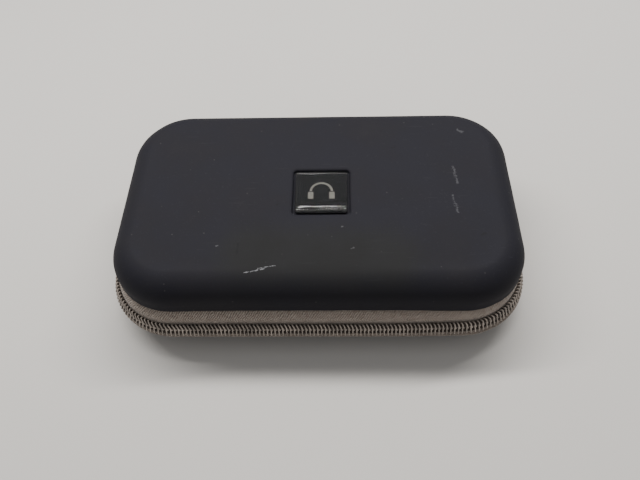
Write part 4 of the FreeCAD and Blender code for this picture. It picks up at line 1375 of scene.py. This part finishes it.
def badge_ring(inset, level):
    """The badge's outline moved inwards, at one level."""
    flat = outline(BADGE_HALF - inset, BADGE_HALF - inset, max(1.2 - inset, 0.25), BADGE_COUNTS)
    return np.column_stack([flat + np.array([BADGE_MIDDLE.x, BADGE_MIDDLE.y]), np.full(len(flat), level)])


class ZIPCASE_OT_badge(bpy.types.Operator):
    """Sets the badge in the lid: its plate, the mark and the clear dome over them"""

    bl_idname = "zip_case.badge"
    bl_label = "Badge"

    def execute(self, context):
        for node_name, finish in (
            ("badge_mark", mark_finish("badge_ink")),
            ("badge_plate", plate_finish("badge_plate_print")),
        ):
            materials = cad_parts[node_name].data.materials
            materials.clear()
            materials.append(finish)
        bottom, top = low("badge_dome").z + 0.01, high("badge_dome").z
        rise, edge_round = top - bottom, 1.15
        rings = [shrunk(badge_ring(0.0, bottom), share) for share in (0.1, 0.6, 0.95)]
        rings.append(badge_ring(0.02, bottom))
        rings += [badge_ring(0.0, bottom + rise * share) for share in (0.12, 0.3)]
        for inset, fall in rounded_steps(edge_round, 8)[1:]:
            rings.append(badge_ring(inset, top - rise * 0.22 - fall * 0.62))
        edge = rings[-1]
        for share in (0.94, 0.86, 0.75, 0.6, 0.42, 0.22):
            ring = shrunk(edge, share)
            away = np.abs(ring[:, :2] - BADGE_MIDDLE[:2]).max(axis=1) / BADGE_HALF
            ring[:, 2] = top - rise * 0.22 * np.clip(away, 0, 1) ** 3
            rings.append(ring)
        piece = lofted("badge_clear", rings)
        finish_piece(piece, [dome_finish("clear_dome")], ["badge_dome"], LID)
        return {"FINISHED"}


# ---- The slider


class ZIPCASE_OT_slider(bpy.types.Operator):
    """Plates the zip's slider and its pull"""

    bl_idname = "zip_case.slider"
    bl_label = "Slider and pull"

    def execute(self, context):
        for name, made, body in (("slider_body", "zip_slider", "slider"), ("pull_tab", "zip_pull", "pull")):
            work = bmesh.new()
            work.from_mesh(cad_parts[name].data)
            bmesh.ops.remove_doubles(work, verts=work.verts[:], dist=1e-6)
            bmesh.ops.dissolve_limit(work, angle_limit=math.radians(1), verts=work.verts[:], edges=work.edges[:])
            verts = np.array([v.co[:] for v in work.verts]) * 1000
            work.verts.index_update()
            faces = [[v.index for v in face.verts] for face in work.faces]
            work.free()
            piece = make_piece(made, verts, faces)
            soften_edges = piece.modifiers.new("cast_edges", "BEVEL")
            soften_edges.width = 0.00017
            soften_edges.segments = 3
            soften_edges.limit_method = "ANGLE"
            soften_edges.angle_limit = math.radians(25)
            bpy.context.view_layer.update()
            cast = bpy.data.meshes.new_from_object(piece.evaluated_get(bpy.context.evaluated_depsgraph_get()))
            piece.modifiers.clear()
            piece.data = cast
            cast.set_sharp_from_angle(angle=math.radians(35))
            finish_piece(piece, [metal_finish("gunmetal_plate")], [name], body)
        return {"FINISHED"}


# ---- The stage


class ZIPCASE_OT_stage(bpy.types.Operator):
    """Sets the table, the lights and the camera"""

    bl_idname = "zip_case.stage"
    bl_label = "Stage"

    def execute(self, context):
        self.table()
        self.lights(context)
        self.camera(context)
        return {"FINISHED"}

    def table(self):
        work = bmesh.new()
        bmesh.ops.create_grid(work, x_segments=24, y_segments=24, size=2.4)
        mesh = bpy.data.meshes.new("table")
        work.to_mesh(mesh)
        work.free()
        table = bpy.data.objects.new("table", mesh)
        table.location = (0, 0.3, 0)
        bpy.context.scene.collection.objects.link(table)
        mesh.materials.append(floor_finish("table_top"))

    def lights(self, context):
        strip = bpy.data.lights.new("key_strip", "AREA")
        strip.shape = "RECTANGLE"
        strip.size, strip.size_y = 1.10, 0.058
        strip.energy = 8.4
        strip.color = (1.0, 0.985, 0.96)
        key = bpy.data.objects.new("key_strip", strip)
        target = Vector((0, -0.02, 0.02))
        lean = math.radians(64.5)
        key.location = target + Vector((-0.06, math.cos(lean), math.sin(lean))) * 0.62
        key.rotation_euler = (target - key.location).to_track_quat("-Z", "Y").to_euler()
        context.scene.collection.objects.link(key)
        world = bpy.data.worlds.new("studio")
        world.use_nodes = True
        back = world.node_tree.nodes["Background"]
        back.inputs["Color"].default_value = (0.98, 0.99, 1.0, 1)
        back.inputs["Strength"].default_value = 0.38
        context.scene.world = world

    def camera(self, context):
        ahead = Vector((-0.0322, 0.5857, -0.8099)).normalized()
        level = ahead.cross(Vector((0, 0, 1))).normalized()
        over = level.cross(ahead)
        roll = math.radians(-2.9)
        right = level * math.cos(roll) + over * math.sin(roll)
        up = right.cross(ahead)
        lens = bpy.data.cameras.new("camera")
        lens.lens, lens.sensor_width = 36, 36
        camera = bpy.data.objects.new("camera", lens)
        turned = Matrix((right, up, -ahead)).transposed().to_4x4()
        camera.matrix_world = Matrix.Translation(Vector((0.00906, -0.16444, 0.23172))) @ turned
        context.scene.collection.objects.link(camera)
        context.scene.camera = camera


STEPS = (
    ZIPCASE_OT_shells,
    ZIPCASE_OT_linings,
    ZIPCASE_OT_bindings,
    ZIPCASE_OT_seams,
    ZIPCASE_OT_tapes,
    ZIPCASE_OT_coils,
    ZIPCASE_OT_spine,
    ZIPCASE_OT_pocket,
    ZIPCASE_OT_badge,
    ZIPCASE_OT_slider,
    ZIPCASE_OT_stage,
)


class ZIPCASE_PT_pieces(bpy.types.Panel):
    """Lists the case's pieces, sizes and colours"""

    bl_idname = "ZIPCASE_PT_pieces"
    bl_label = "Headphone case"
    bl_space_type = "VIEW_3D"
    bl_region_type = "UI"
    bl_category = "Case"

    def draw(self, context):
        for step in STEPS:
            self.layout.operator(step.bl_idname)
        for group in (context.scene.case_sizes, context.scene.case_colours):
            box = self.layout.box()
            for name in group.__annotations__:
                box.prop(group, name)


CLASSES = (CaseSizes, CaseColours, *STEPS, ZIPCASE_PT_pieces)


def register():
    for one in CLASSES:
        bpy.utils.register_class(one)
    bpy.types.Scene.case_sizes = bpy.props.PointerProperty(type=CaseSizes)
    bpy.types.Scene.case_colours = bpy.props.PointerProperty(type=CaseColours)


def unregister():
    del bpy.types.Scene.case_colours
    del bpy.types.Scene.case_sizes
    for one in reversed(CLASSES):
        bpy.utils.unregister_class(one)


def main():
    register()
    for step in STEPS:
        group, name = step.bl_idname.split(".")
        getattr(getattr(bpy.ops, group), name)()


if __name__ == "__main__":
    main()
